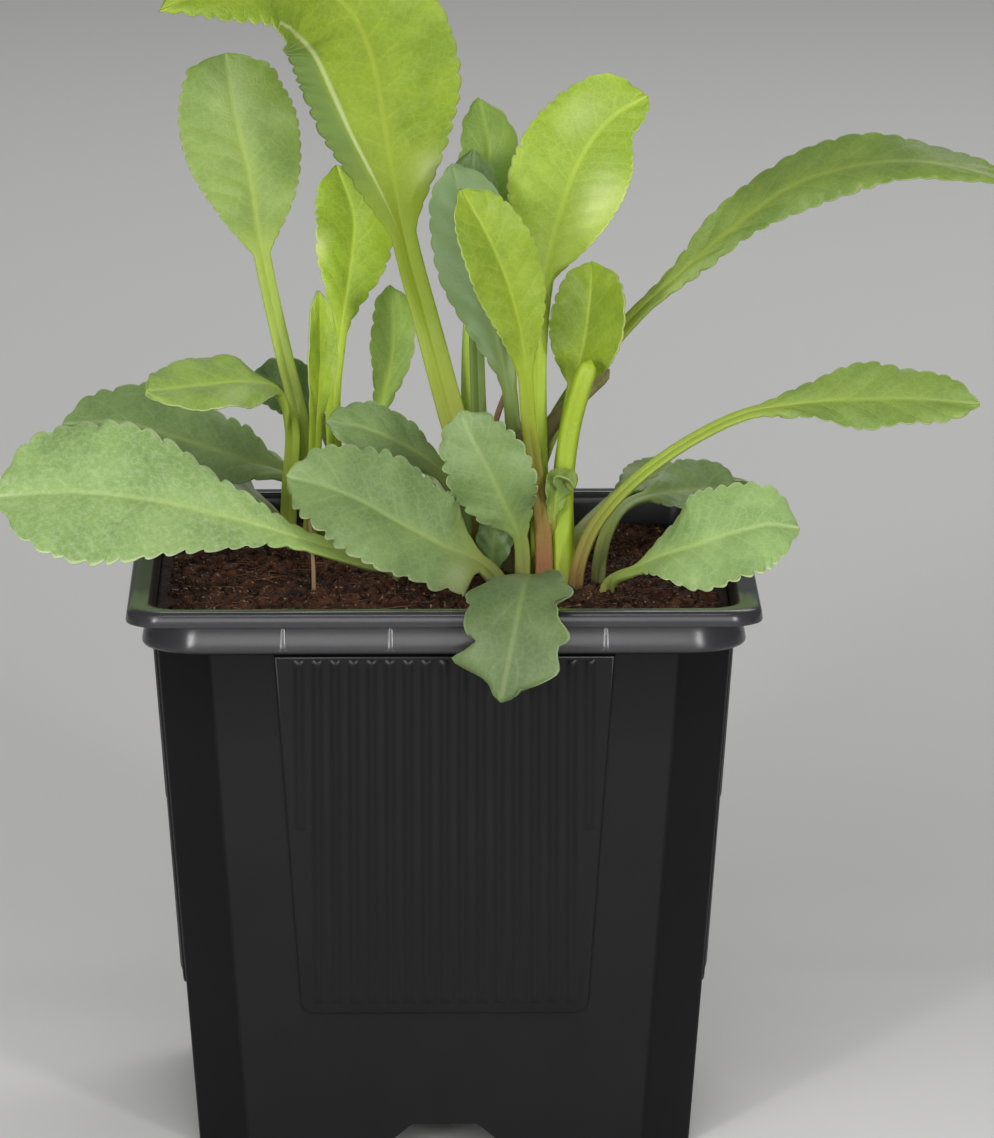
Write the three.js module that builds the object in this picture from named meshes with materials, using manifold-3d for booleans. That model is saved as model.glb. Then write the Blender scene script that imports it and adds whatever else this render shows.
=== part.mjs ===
// Oxeye daisy in leaf, in a square plastic nursery pot filled with coir and peat.
// Millimetres, +Z up. The origin is on the ground under the middle of the pot.
import * as THREE from 'three';
import { mergeVertices } from 'three/addons/utils/BufferGeometryUtils.js';
import Module from 'manifold-3d';

const wasm = await Module();
wasm.setup();

// Pot
const potHeight = 82;
const footHalf = 35.25;
const wallRise = 0.074;
const footChamfer = 7;
const wallThickness = 1.3;
const collarHalf = 42.7;
const collarBottom = 75.3;
const lipHalf = 45;
const lipBottom = 79.7;
const mouthHalf = 41.5;
const ledgeHeight = 76.2;
const cornerRadius = 5;
const cornerSteps = 4;
const floorBottom = 5;
const floorTop = 6.5;
const padRadius = 8;
const drainRadius = 3.4;
const drainOffset = 20.5;
const notchHeight = 5;
const notchHalfTop = 4.7;
const notchHalfFoot = 10.5;

// Raised panel with upright ribs on each wall
const panelProud = 0.8;
const panelTop = 75;
const panelBottom = 21.8;
const panelHalfTop = 24.1;
const panelHalfBottom = 20.4;
const panelCorner = 1.5;
const panelBevel = 0.35;
const ribCount = 17;
const ribSpacing = 2.57;
const ribHalfWidth = 0.8;
const ribProud = 0.5;
const ribTop = 74.4;
const ribBottom = 23.4;
const ribEdgeGap = 0.9;
const collarRibs = [-22.8, -7.6, 7.6, 22.8];
const collarRibProud = 0.3;

// Soil
const soilLevel = 77;
const soilLump = 0.6;
const soilMound = 0.5;
const soilCells = 13;
const gap = 0.35;
const holeGap = 0.6;

// Leaf blades and stalks
const bladeThickness = 0.76;
const stalkSteps = 4;
const stalkKeel = 1.1;
const keelShare = 0.7;
const toothDepth = 0.13;
const tipReach = 0.94;
const ribThickness = 0.12;

const black = { color: 0x2c2c2f, roughness: 0.45, metalness: 0 };
const earth = { color: 0x3a2018, roughness: 1, metalness: 0 };
const brightGreen = { color: 0x9cc13a, roughness: 0.5, metalness: 0 };
const midGreen = { color: 0x7fa050, roughness: 0.55, metalness: 0 };
const greyGreen = { color: 0x86a568, roughness: 0.6, metalness: 0 };
const darkGreen = { color: 0x5d7d3a, roughness: 0.6, metalness: 0 };
const reddish = { color: 0xa07a48, roughness: 0.5, metalness: 0 };

// The leaves, from the crown in the soil to the tip. path runs up the stalk and along the midrib, with its
// heights above the soil, and bladeAt is the point of it where the blade starts. face is the way the upper
// side looks there, and tipFace at the tip. half is the blade's half width, stalk the stalk's, widest the
// place of the widest part from 0 to 1, teeth the number on each side and wave the rise and fall of the edge.
// left and right bend the two halves of the blade up, in degrees, near the midrib and at the edge. Where they
// are given, sides makes the two halves unequal, fill below 1 widens the blade's foot, point above 0.5 draws
// out its tip and tooth deepens the scallops.
const leaves = [
  {
    name: 'leaf_tall_left', look: midGreen, half: 8.9, stalk: 1.25, widest: 0.6, teeth: 9, wave: 0.3,
    path: [[-17.5, 20.5, -6], [-18.5, 20.5, 5], [-20.5, 20.5, 18.4], [-23.5, 22.5, 30.8], [-26.4, 25.5, 44],
      [-28.2, 28, 55], [-30.6, 30.5, 65.5], [-31.8, 33, 72.8]],
    bladeAt: 4, face: [0.1, -1, 0.15], tipFace: [0.1, -1, 0.3], left: [12, -8], right: [10, 4], fill: 0.85,
  },
  {
    name: 'leaf_top_arching', look: brightGreen, half: 12.7, stalk: 1.9, widest: 0.36, teeth: 13, wave: 0.3,
    path: [[6, 3.5, -6], [5, 6, 11], [1.5, 8, 23], [-2, 9.5, 36], [-5.5, 9.5, 49.5], [-8.2, 7.5, 65.5],
      [-9.8, 5, 75.2], [-13, 1.5, 83.4], [-18.4, -2, 88.4], [-24.5, -6, 90.3], [-30.5, -10.5, 89.6],
      [-36, -14, 87.9], [-40.2, -16, 86.2]],
    bladeAt: 4, face: [0.1, -1, 0.1], tipFace: [-0.1, -0.95, 0.4], left: [8, -22], right: [12, -10],
    sides: [1, 0.98], fill: 0.72, point: 0.9,
  },
  {
    name: 'leaf_mid_left', look: brightGreen, half: 6.1, stalk: 1.1, widest: 0.56, teeth: 7, wave: 0.4,
    path: [[-14, 24.5, -6], [-15.5, 24.5, 9.9], [-16, 25.5, 21.9], [-15, 27, 31.8], [-13.5, 29, 41.6],
      [-13, 31, 48.7], [-15.5, 33.5, 56]],
    bladeAt: 3, face: [0.2, -1, 0.1], tipFace: [0.2, -1, 0.2], left: [20, 5], right: [15, -10], fill: 0.8,
  },
  {
    name: 'leaf_small_upright', look: brightGreen, half: 3, stalk: 1, widest: 0.5, teeth: 4, wave: 0.1,
    path: [[-20.5, 16.5, -6], [-19, 17, 9], [-18.5, 17, 20], [-18, 17, 30], [-18, 17, 40]],
    bladeAt: 2, face: [0.3, -1, 0], tipFace: [0.3, -1, 0], left: [45, 35], right: [45, 30],
  },
  {
    name: 'leaf_narrow_upright', look: midGreen, half: 3.5, stalk: 1, widest: 0.6, teeth: 5, wave: 0.2,
    path: [[-10, 29, -6], [-10.5, 30, 6.9], [-9.5, 32, 17.3], [-7.5, 34, 25.6], [-7, 36, 31.4],
      [-7.5, 38, 37.2]],
    bladeAt: 2, face: [-0.2, -1, 0], tipFace: [-0.2, -1, 0.2], left: [15, 10], right: [10, 0],
  },
  {
    name: 'leaf_level_left', look: brightGreen, half: 5.8, stalk: 1.1, widest: 0.5, teeth: 7, wave: 0.3,
    path: [[-23, 20.5, -6], [-22.5, 19, 9], [-22, 16, 20], [-23.8, 12, 26], [-28, 8, 28], [-34.5, 4, 28.3],
      [-43, -1, 28.3]],
    bladeAt: 3, face: [0, -0.55, 0.85], tipFace: [-0.2, -0.6, 0.8], left: [8, -10], right: [15, 0],
    fill: 0.7,
  },
  {
    name: 'leaf_low_left', look: greyGreen, half: 8, stalk: 1.5, widest: 0.55, teeth: 9, wave: 0.4,
    path: [[-17, 26.5, -6], [-18.5, 26.5, 4], [-22, 28, 10], [-29, 30.5, 12], [-38, 32.5, 14.6],
      [-47.5, 34, 17], [-56.5, 36, 16.4]],
    bladeAt: 2, face: [0, -0.5, 0.85], tipFace: [-0.1, -0.6, 0.8], left: [0, -25], right: [18, 6],
    fill: 0.75,
  },
  {
    name: 'leaf_shaded_left', look: darkGreen, half: 5, stalk: 1, widest: 0.6, teeth: 5, wave: 0.2,
    path: [[-13.5, 30, -6], [-14.5, 31, 7], [-17.5, 32, 17], [-22, 33, 22], [-28, 34, 24.5]],
    bladeAt: 2, face: [0, -0.7, 0.7], tipFace: [0, -0.7, 0.7], left: [10, 0], right: [10, 0],
  },
  {
    name: 'leaf_front_left', look: greyGreen, half: 12, stalk: 1.6, widest: 0.7, teeth: 11, wave: 0.4,
    path: [[-4, -2.5, -6], [-6, -4.3, 2.8], [-11, -7.5, 5], [-17, -10.5, 7.4], [-24, -12.5, 10],
      [-32, -13.8, 12.6], [-42, -14, 15], [-54, -13, 16], [-64.5, -12, 15]],
    bladeAt: 3, face: [0.1, -0.75, 0.65], tipFace: [0, -0.75, 0.65], left: [8, -4], right: [10, -4],
    fill: 1.05,
  },
  {
    name: 'leaf_spread_front', look: greyGreen, half: 9, stalk: 1.5, widest: 0.48, teeth: 9, wave: 0.5,
    path: [[9, -8.5, -6], [8, -11, 2.2], [5, -13, 5.7], [0, -14.5, 8.2], [-6, -15, 11.6], [-12, -14.5, 15],
      [-17.5, -13.5, 17], [-22.5, -12, 17.8]],
    bladeAt: 2, face: [0.1, -0.7, 0.7], tipFace: [-0.1, -0.75, 0.65], left: [12, -8], right: [12, 5],
    fill: 0.62,
  },
  {
    name: 'leaf_spread_middle', look: greyGreen, half: 4.6, stalk: 1.1, widest: 0.55, teeth: 6, wave: 0.3,
    path: [[3, 0.5, -6], [3, 1, 3], [3, 2, 10], [0, 3, 15.4], [-5, 3, 19.2], [-11, 2, 22.2],
      [-17, 0.5, 23.6]],
    bladeAt: 3, face: [0, -0.75, 0.65], tipFace: [-0.1, -0.7, 0.7], left: [8, -10], right: [8, 0],
    fill: 0.7,
  },
  {
    name: 'leaf_front_middle', look: greyGreen, half: 6.5, stalk: 1.1, widest: 0.52, teeth: 7, wave: 0.4,
    path: [[10.7, -4.2, -6], [11.6, -5.2, 3], [11.2, -7, 8], [9, -9.5, 13.5], [6.5, -11, 19],
      [4, -11.5, 24], [2.5, -11, 27.5]],
    bladeAt: 2, face: [-0.2, -0.95, 0.3], tipFace: [-0.1, -0.95, 0.35], left: [10, 0], right: [14, 5],
    fill: 0.7,
  },
  {
    name: 'leaf_over_lip', look: greyGreen, half: 7.6, stalk: 1.3, widest: 0.55, teeth: 5, wave: 0.6,
    path: [[15.5, -10, -6], [15.5, -13.5, 2.4], [14.5, -21, 5], [13, -30, 7], [12, -38, 8.6],
      [11, -45.5, 7.8], [9.5, -50, 2], [7.8, -51.5, -6.5]],
    bladeAt: 3, face: [0, -0.2, 1], tipFace: [-0.1, -1, 0.1], left: [0, 20], right: [8, -12], tooth: 0.24,
  },
  {
    name: 'leaf_bright_middle', look: brightGreen, half: 6, stalk: 1.1, widest: 0.6, teeth: 7, wave: 0.3,
    path: [[14.5, -4.5, -6], [14.7, -4.5, 7], [13.5, -5, 17], [12.5, -5.5, 24.1], [12, -6.5, 31.2],
      [11, -8, 39], [9, -10, 46.6], [6, -12, 53.8], [2.5, -13, 60]],
    bladeAt: 4, face: [0, -1, 0.05], tipFace: [0.1, -1, 0.15], left: [35, 30], right: [10, -8], fill: 0.8,
  },
  {
    name: 'leaf_grey_middle', look: greyGreen, half: 6.5, stalk: 1.1, widest: 0.6, teeth: 7, wave: 0.3,
    path: [[10, 0.5, -6], [10.2, 0.5, 9], [10.3, 0.8, 21], [9.8, 1, 28], [8, 1.5, 36], [6, 2, 43.5],
      [4, 2.5, 52], [1.5, 4, 61]],
    bladeAt: 3, face: [0.1, 1, 0.1], tipFace: [0.1, 1, 0.1], left: [8, 0], right: [12, 4], fill: 0.8,
  },
  {
    name: 'leaf_dark_tip', look: darkGreen, half: 4.2, stalk: 1.1, widest: 0.6, teeth: 5, wave: 0.2,
    path: [[8, 9, -6], [6.5, 10, 9], [5.5, 10.5, 22], [5, 11, 37], [4.6, 11.3, 49], [4.5, 12.5, 61.7]],
    bladeAt: 3, face: [0.2, -1, 0], tipFace: [0.2, -1, 0.2], left: [12, 0], right: [12, 0],
  },
  {
    name: 'leaf_upper_small', look: midGreen, half: 5, stalk: 1.1, widest: 0.6, teeth: 6, wave: 0.2,
    path: [[6, 13.5, -6], [4.8, 14.5, 9], [4, 16, 21.9], [4.4, 17.7, 36.7], [6, 20, 50.5], [7, 22, 60.3],
      [5.5, 24.5, 67.5]],
    bladeAt: 3, face: [0.2, -1, 0.1], tipFace: [0.2, -1, 0.3], left: [15, 5], right: [10, -10],
  },
  {
    name: 'leaf_upper_right', look: brightGreen, half: 9.2, stalk: 1.3, widest: 0.48, teeth: 10, wave: 0.4,
    path: [[14.5, 0.5, -6], [14.2, 1, 9], [13.9, 2.5, 22.9], [14, 4.5, 33.7], [15, 6.5, 43.5], [17, 9, 52],
      [20.3, 12, 60.4], [24.8, 14, 66], [30.2, 15, 69]],
    bladeAt: 4, face: [0.1, -1, 0.2], tipFace: [0, -1, 0.3], left: [4, -10], right: [12, 18],
    sides: [1, 0.92], fill: 0.64,
  },
  {
    name: 'leaf_curled', look: brightGreen, half: 5.8, stalk: 1.1, widest: 0.5, teeth: 6, wave: 0.3,
    path: [[18.5, 2.5, -6], [18, 3, 9], [18, 3, 21], [19.3, 3, 28.5], [20.7, 3, 35], [21.5, 3.5, 41],
      [21.8, 5, 46.4]],
    bladeAt: 3, face: [-0.1, -1, 0.1], tipFace: [0, -1, 0.4], left: [20, 20], right: [16, 20], fill: 0.58,
  },
  {
    name: 'leaf_long_right', look: greyGreen, half: 6.6, stalk: 1.3, widest: 0.52, teeth: 12, wave: 0.3,
    path: [[12, 8.5, -6], [12.5, 9, 9], [16, 10.5, 20.5], [21.5, 12, 29], [28, 13.5, 36.6],
      [35.5, 14, 43.4], [43.5, 14, 50.4], [52, 13, 56.4], [61, 11, 59.4], [69, 8.5, 60.4], [77, 5.5, 59.6],
      [84, 3, 57.6]],
    bladeAt: 4, face: [-0.35, -0.7, 0.6], tipFace: [0.2, -0.25, 1], left: [6, 8], right: [-10, -30],
    sides: [1, 0.7], fill: 1.05, point: 0.85,
  },
  {
    name: 'leaf_level_right', look: midGreen, half: 6, stalk: 0.95, widest: 0.55, teeth: 9, wave: 0.3,
    path: [[19.5, -6.8, -6], [19.3, -7.2, 2], [21.2, -8, 8.5], [24.5, -9, 13.5], [29.5, -10, 18.5],
      [36, -10, 23], [43.5, -10, 26.6], [51.5, -10, 28], [60, -10, 28.6], [68.5, -10, 28.6],
      [77.4, -10, 27.8]],
    bladeAt: 6, face: [-0.2, -0.7, 0.7], tipFace: [0, -0.7, 0.7], left: [12, 4], right: [4, -10],
    sides: [1, 0.8], point: 0.65,
  },
  {
    name: 'leaf_low_right_back', look: greyGreen, half: 5.4, stalk: 0.95, widest: 0.55, teeth: 6, wave: 0.3,
    path: [[22.8, -3, -6], [22.8, -2, 3], [24.2, 1.5, 7.5], [26.5, 6, 9.8], [30, 11, 10.4], [35, 15, 10.3],
      [40, 19, 9.8], [44.5, 22, 8.4]],
    bladeAt: 4, face: [-0.2, -0.75, 0.6], tipFace: [0, -0.75, 0.6], left: [8, 0], right: [6, 0], fill: 0.7,
  },
  {
    name: 'leaf_low_right_front', look: greyGreen, half: 8.4, stalk: 1, widest: 0.55, teeth: 9, wave: 0.4,
    path: [[23.5, -10, -6], [24, -12, 2.2], [27.5, -16, 5], [31.5, -19, 7.6], [36, -21, 9.5],
      [41, -21.5, 11.3], [46.5, -21, 12.5], [51, -20, 11.7]],
    bladeAt: 2, face: [0, -0.65, 0.75], tipFace: [0.1, -0.7, 0.7], left: [10, 2], right: [4, -6],
    fill: 0.85,
  },
  {
    name: 'leaf_crown_dark', look: darkGreen, half: 2.8, stalk: 0.9, widest: 0.6, teeth: 4, wave: 0.1,
    path: [[6.8, -3, -6], [7, -3.8, 1.5], [7.5, -4.2, 6], [8, -4.6, 11]],
    bladeAt: 1, face: [-0.1, -1, 0.3], tipFace: [-0.1, -1, 0.3], left: [10, 0], right: [10, 0],
  },
  {
    name: 'leaf_crown_low', look: midGreen, half: 2.6, stalk: 0.9, widest: 0.6, teeth: 4, wave: 0.1,
    path: [[2.5, -5, -6], [1.5, -6.5, 2], [-1.5, -9, 3.9], [-5, -11, 4.4]],
    bladeAt: 1, face: [0, -0.8, 0.6], tipFace: [0, -0.8, 0.6], left: [10, 0], right: [10, 0],
  },
  {
    name: 'leaf_back_middle', look: midGreen, half: 7.5, stalk: 1.2, widest: 0.6, teeth: 8, wave: 0.4,
    path: [[0, 7.5, -6], [0, 10, 2.8], [0.5, 19, 7.2], [1.5, 30, 9.8], [3, 41, 9.8], [4, 50, 7],
      [4.5, 57, 1]],
    bladeAt: 2, face: [0, -0.1, 1], tipFace: [0, 0.6, 0.8], left: [12, 0], right: [12, -5],
  },
  {
    name: 'leaf_back_right', look: midGreen, half: 7, stalk: 1.1, widest: 0.6, teeth: 8, wave: 0.4,
    path: [[17.5, 7.5, -6], [19, 11, 2.8], [24, 20, 7], [30, 30, 8.8], [36, 40, 8.4], [41.5, 48, 5],
      [45, 54, -0.5]],
    bladeAt: 2, face: [0, -0.1, 1], tipFace: [0.4, 0.5, 0.8], left: [12, 0], right: [12, -5],
  },
  {
    name: 'leaf_back_left', look: greyGreen, half: 6.5, stalk: 1.1, widest: 0.6, teeth: 7, wave: 0.4,
    path: [[-21, 30, -6], [-25, 33, 3.4], [-31, 37.5, 7], [-38, 43.5, 8], [-43, 49, 5], [-46, 54, -1]],
    bladeAt: 1, face: [0, -0.1, 1], tipFace: [-0.4, 0.5, 0.8], left: [12, 0], right: [12, -5],
  },
];

// Stalks that have lost their blade
const bareStalks = [
  {
    name: 'stalk_front', look: brightGreen, stalk: 1.5, face: [0, -1, 0.1],
    path: [[18, -3.2, -6], [17.5, -2.7, 4], [17.5, -2.5, 15], [18.5, -2.5, 23], [20, -3, 29], [21.5, -3, 33.5]],
  },
  {
    name: 'stalk_back', look: reddish, stalk: 1.2, face: [-0.2, -1, 0.1],
    path: [[13.8, 5, -6], [12.4, 6, 9], [15, 6.5, 20.5], [20, 6.5, 26], [24.5, 6.3, 30.3]],
  },
];

// A repeatable number from 0 to 1 for any two whole numbers.
function seeded(i, j) {
  const wide = Math.sin(i * 127.1 + j * 311.7 + 4.3) * 43758.5453;
  return wide - Math.floor(wide);
}

function closedGeometry(points, triangles) {
  const geometry = new THREE.BufferGeometry();
  geometry.setAttribute('position', new THREE.Float32BufferAttribute(points.flat(), 3));
  geometry.setIndex(triangles.flat());
  return geometry;
}

function solidOf(geometry) {
  const bare = geometry.clone();
  bare.deleteAttribute('normal');
  bare.deleteAttribute('uv');
  const merged = mergeVertices(bare, 1e-4);
  const vertProperties = new Float32Array(merged.attributes.position.array);
  const triVerts = new Uint32Array(merged.index.array);
  return new wasm.Manifold(new wasm.Mesh({ numProp: 3, vertProperties, triVerts }));
}

function geometryOf(solid) {
  const mesh = solid.getMesh();
  const geometry = new THREE.BufferGeometry();
  geometry.setAttribute('position', new THREE.BufferAttribute(Float32Array.from(mesh.vertProperties), 3));
  geometry.setIndex(new THREE.BufferAttribute(Uint32Array.from(mesh.triVerts), 1));
  return geometry;
}

function meshOf(name, geometry, look) {
  geometry.computeVertexNormals();
  const mesh = new THREE.Mesh(geometry, new THREE.MeshStandardMaterial(look));
  mesh.name = name;
  return mesh;
}

// Rings of equal count, from the lowest up and anticlockwise from above, joined into one closed body.
function loft(rings) {
  const count = rings[0].length;
  const triangles = [];
  for (let ring = 0; ring + 1 < rings.length; ring += 1) {
    for (let i = 0; i < count; i += 1) {
      const a = ring * count + i;
      const b = ring * count + ((i + 1) % count);
      triangles.push([a, b, b + count], [a, b + count, a + count]);
    }
  }
  const last = (rings.length - 1) * count;
  for (let i = 1; i + 1 < count; i += 1) {
    triangles.push([0, i + 1, i], [last, last + i, last + i + 1]);
  }
  return closedGeometry(rings.flat(), triangles);
}

// A square whose corners are cut straight (round = 0) or turned on an arc (round = 1).
function squareRing(half, corner, round, z) {
  const ring = [];
  for (let quarter = 0; quarter < 4; quarter += 1) {
    const turn = (quarter * Math.PI) / 2;
    for (let step = 0; step <= cornerSteps; step += 1) {
      const share = step / cornerSteps;
      const arc = (share * Math.PI) / 2;
      const inset = half - corner;
      const x = inset + corner * (round ? Math.cos(arc) : 1 - share);
      const y = inset + corner * (round ? Math.sin(arc) : share);
      ring.push([x * Math.cos(turn) - y * Math.sin(turn), x * Math.sin(turn) + y * Math.cos(turn), z]);
    }
  }
  return ring;
}

const wallHalf = (z) => footHalf + wallRise * z;
const outerCorner = (z) => footChamfer + 0.005 * z;
const innerCorner = (z) => outerCorner(z) - 0.586 * wallThickness;

function potOutside() {
  return loft([
    squareRing(wallHalf(0), outerCorner(0), 0, 0),
    squareRing(wallHalf(collarBottom), outerCorner(collarBottom), 0, collarBottom),
    squareRing(collarHalf - 0.6, cornerRadius, 1, collarBottom + 0.5),
    squareRing(collarHalf, cornerRadius, 1, collarBottom + 1.3),
    squareRing(collarHalf, cornerRadius, 1, lipBottom),
    squareRing(lipHalf - 0.3, cornerRadius, 1, lipBottom),
    squareRing(lipHalf, cornerRadius, 1, lipBottom + 0.4),
    squareRing(lipHalf, cornerRadius, 1, potHeight - 0.7),
    squareRing(lipHalf - 0.3, cornerRadius, 1, potHeight - 0.2),
    squareRing(lipHalf - 0.9, cornerRadius - 0.6, 1, potHeight),
  ]);
}

function potInside() {
  const throat = wallHalf(ledgeHeight) - wallThickness;
  return loft([
    squareRing(wallHalf(floorTop) - wallThickness, innerCorner(floorTop), 0, floorTop),
    squareRing(throat, innerCorner(ledgeHeight), 0, ledgeHeight),
    squareRing(mouthHalf - 0.2, cornerRadius - 2, 1, ledgeHeight),
    squareRing(mouthHalf, cornerRadius - 2, 1, potHeight - 0.6),
    squareRing(mouthHalf + 0.5, cornerRadius - 1.7, 1, potHeight),
    squareRing(mouthHalf + 0.5, cornerRadius - 1.7, 1, potHeight + 1),
  ]);
}

function underFloor() {
  return loft([
    squareRing(wallHalf(0) - wallThickness, innerCorner(0), 0, -1),
    squareRing(wallHalf(floorBottom) - wallThickness, innerCorner(floorBottom), 0, floorBottom),
  ]);
}

function uprightDisc(radius, bottom, top, x, y) {
  const disc = new THREE.CylinderGeometry(radius, radius, top - bottom, 16);
  disc.rotateX(Math.PI / 2);
  disc.translate(x, y, (bottom + top) / 2);
  return disc;
}

// Turns a shape drawn for the front wall, at y below zero, to one of the four walls.
function onWall(geometry, side) {
  geometry.rotateZ((side * Math.PI) / 2);
  return geometry;
}

// Leans an upright front plate so that it follows the sloping wall.
function leanWithWall(geometry) {
  const lean = new THREE.Matrix4().set(1, 0, 0, 0, 0, 1, -wallRise, -footHalf, 0, 0, 1, 0, 0, 0, 0, 1);
  geometry.applyMatrix4(lean);
  return geometry;
}

function panelPlate() {
  const outline = new THREE.Shape();
  outline.moveTo(-panelHalfTop, panelTop);
  outline.lineTo(-panelHalfBottom, panelBottom + panelCorner);
  outline.quadraticCurveTo(-panelHalfBottom, panelBottom, -panelHalfBottom + panelCorner, panelBottom);
  outline.lineTo(panelHalfBottom - panelCorner, panelBottom);
  outline.quadraticCurveTo(panelHalfBottom, panelBottom, panelHalfBottom, panelBottom + panelCorner);
  outline.lineTo(panelHalfTop, panelTop);
  const plate = new THREE.ExtrudeGeometry(outline, {
    depth: panelProud - panelBevel, curveSegments: 3, bevelEnabled: true, bevelSegments: 1,
    bevelSize: panelBevel, bevelThickness: panelBevel, bevelOffset: -panelBevel,
  });
  plate.rotateX(Math.PI / 2);
  return leanWithWall(plate);
}

// A low bar with sloping sides, from zLow to zHigh on the front wall, wider at its foot if flare is over 0.
function wedgeBar(x, halfWidth, zLow, zHigh, proud, flare = 0) {
  const sunk = 0.3;
  const low = halfWidth + flare;
  const face = (z, half, rise) => [[x - half, -rise, z], [x + half, -rise, z]];
  const [a, b] = face(zLow, low, -sunk);
  const [c, d] = face(zHigh, halfWidth, -sunk);
  const [e, f] = face(zLow + proud * 0.8, low * 0.55, proud);
  const [g, h] = face(zHigh - proud * 0.8, halfWidth * 0.55, proud);
  return closedGeometry([a, b, c, d, e, f, g, h], [
    [0, 2, 3], [0, 3, 1], [4, 5, 7], [4, 7, 6], [0, 1, 5], [0, 5, 4],
    [2, 6, 7], [2, 7, 3], [0, 4, 6], [0, 6, 2], [1, 3, 7], [1, 7, 5],
  ]);
}

// The lowest point of a rib at x, where the sloping side of the panel cuts it short.
function ribFoot(x) {
  const reach = Math.abs(x) + ribHalfWidth + ribEdgeGap;
  const slope = (panelHalfTop - panelHalfBottom) / (panelTop - panelBottom);
  return Math.max(ribBottom, panelBottom + (reach - panelHalfBottom) / slope);
}

function wallRelief(side) {
  const pieces = [solidOf(onWall(panelPlate(), side))];
  for (let i = 0; i < ribCount; i += 1) {
    const x = (i - (ribCount - 1) / 2) * ribSpacing;
    const bar = leanWithWall(wedgeBar(x, ribHalfWidth, ribFoot(x), ribTop, ribProud));
    bar.translate(0, -panelProud, 0);
    pieces.push(solidOf(onWall(bar, side)));
  }
  for (const x of collarRibs) {
    const bar = wedgeBar(x, 0.2, collarBottom + 1.3, lipBottom, collarRibProud, 0.2);
    bar.translate(0, -collarHalf, 0);
    pieces.push(solidOf(onWall(bar, side)));
  }
  return pieces;
}

function footNotch(side) {
  const outline = new THREE.Shape();
  outline.moveTo(-notchHalfFoot - 1, -1);
  outline.lineTo(notchHalfFoot + 1, -1);
  outline.lineTo(notchHalfFoot, 0);
  outline.lineTo(notchHalfTop, notchHeight);
  outline.lineTo(-notchHalfTop, notchHeight);
  outline.lineTo(-notchHalfFoot, 0);
  const cutter = new THREE.ExtrudeGeometry(outline, { depth: 8, bevelEnabled: false });
  cutter.rotateX(Math.PI / 2);
  cutter.translate(0, -footHalf + 4, 0);
  return solidOf(onWall(cutter, side));
}

function potSolid() {
  let pot = solidOf(potOutside());
  for (let side = 0; side < 4; side += 1) {
    for (const piece of wallRelief(side)) pot = pot.add(piece);
  }
  pot = pot.subtract(solidOf(potInside()));
  pot = pot.subtract(solidOf(underFloor()));
  for (let side = 0; side < 4; side += 1) pot = pot.subtract(footNotch(side));
  pot = pot.add(solidOf(uprightDisc(padRadius, 0, floorBottom + 0.5, 0, 0)));
  for (let side = 0; side < 4; side += 1) {
    const turn = (side * Math.PI) / 2;
    const spots = [[drainOffset, 0], [drainOffset, drainOffset]];
    for (const [along, across] of spots) {
      const x = along * Math.cos(turn) - across * Math.sin(turn);
      const y = along * Math.sin(turn) + across * Math.cos(turn);
      pot = pot.subtract(solidOf(uprightDisc(drainRadius, floorBottom - 1, floorTop + 1, x, y)));
    }
  }
  return pot;
}

// The soil's lumpy top on a square grid, with a flat underside at z = 0.
function lumpyBlock() {
  const reach = mouthHalf + 2;
  const count = soilCells + 1;
  const points = [];
  const height = (i, j) => {
    const x = (i / soilCells - 0.5) * 2;
    const y = (j / soilCells - 0.5) * 2;
    const nearWall = Math.max(Math.abs(x), Math.abs(y)) > 0.8 ? 0.4 : 1;
    return soilLevel + soilLump * nearWall * (2 * seeded(i, j) - 1) + soilMound * (1 - x * x) * (1 - y * y);
  };
  for (let j = 0; j < count; j += 1) {
    for (let i = 0; i < count; i += 1) {
      points.push([(i / soilCells - 0.5) * 2 * reach, (j / soilCells - 0.5) * 2 * reach, height(i, j)]);
    }
  }
  const triangles = [];
  for (let j = 0; j < soilCells; j += 1) {
    for (let i = 0; i < soilCells; i += 1) {
      const a = j * count + i;
      const [b, c, d] = [a + 1, a + count + 1, a + count];
      triangles.push([a, b, c], [a, c, d]);
    }
  }
  const edge = [];
  for (let i = 0; i < soilCells; i += 1) edge.push(i);
  for (let j = 0; j < soilCells; j += 1) edge.push(j * count + soilCells);
  for (let i = soilCells; i > 0; i -= 1) edge.push(soilCells * count + i);
  for (let j = soilCells; j > 0; j -= 1) edge.push(j * count);
  const middle = points.length;
  points.push([0, 0, 0]);
  for (const a of edge) points.push([points[a][0], points[a][1], 0]);
  edge.forEach((a, k) => {
    const next = (k + 1) % edge.length;
    const [b, below, belowNext] = [edge[next], middle + 1 + k, middle + 1 + next];
    triangles.push([below, belowNext, b], [below, b, a], [middle, belowNext, below]);
  });
  return closedGeometry(points, triangles);
}

function soilForm() {
  const shrink = wallThickness + gap;
  const ring = (z) => squareRing(wallHalf(z) - shrink, innerCorner(z) - 0.586 * gap, 0, z);
  const lower = loft([ring(floorTop + gap), ring(ledgeHeight + gap + 0.2)]);
  const upper = loft([
    squareRing(mouthHalf - 0.2 - gap, cornerRadius - 2, 1, ledgeHeight + gap),
    squareRing(mouthHalf - 0.2 - gap, cornerRadius - 2, 1, potHeight),
  ]);
  return solidOf(lower).add(solidOf(upper)).intersect(solidOf(lumpyBlock()));
}

// Where a control point of the path lies along the curve, from 0 to 1 of its length.
function lengthShare(curve, index) {
  const parts = 200;
  const lengths = curve.getLengths(parts);
  const at = Math.round((index / (curve.points.length - 1)) * parts);
  return lengths[at] / lengths[parts];
}

function pathCurve(path) {
  const points = path.map(([x, y, z]) => new THREE.Vector3(x, y, z + soilLevel));
  return new THREE.CatmullRomCurve3(points, false, 'centripetal');
}

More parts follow.
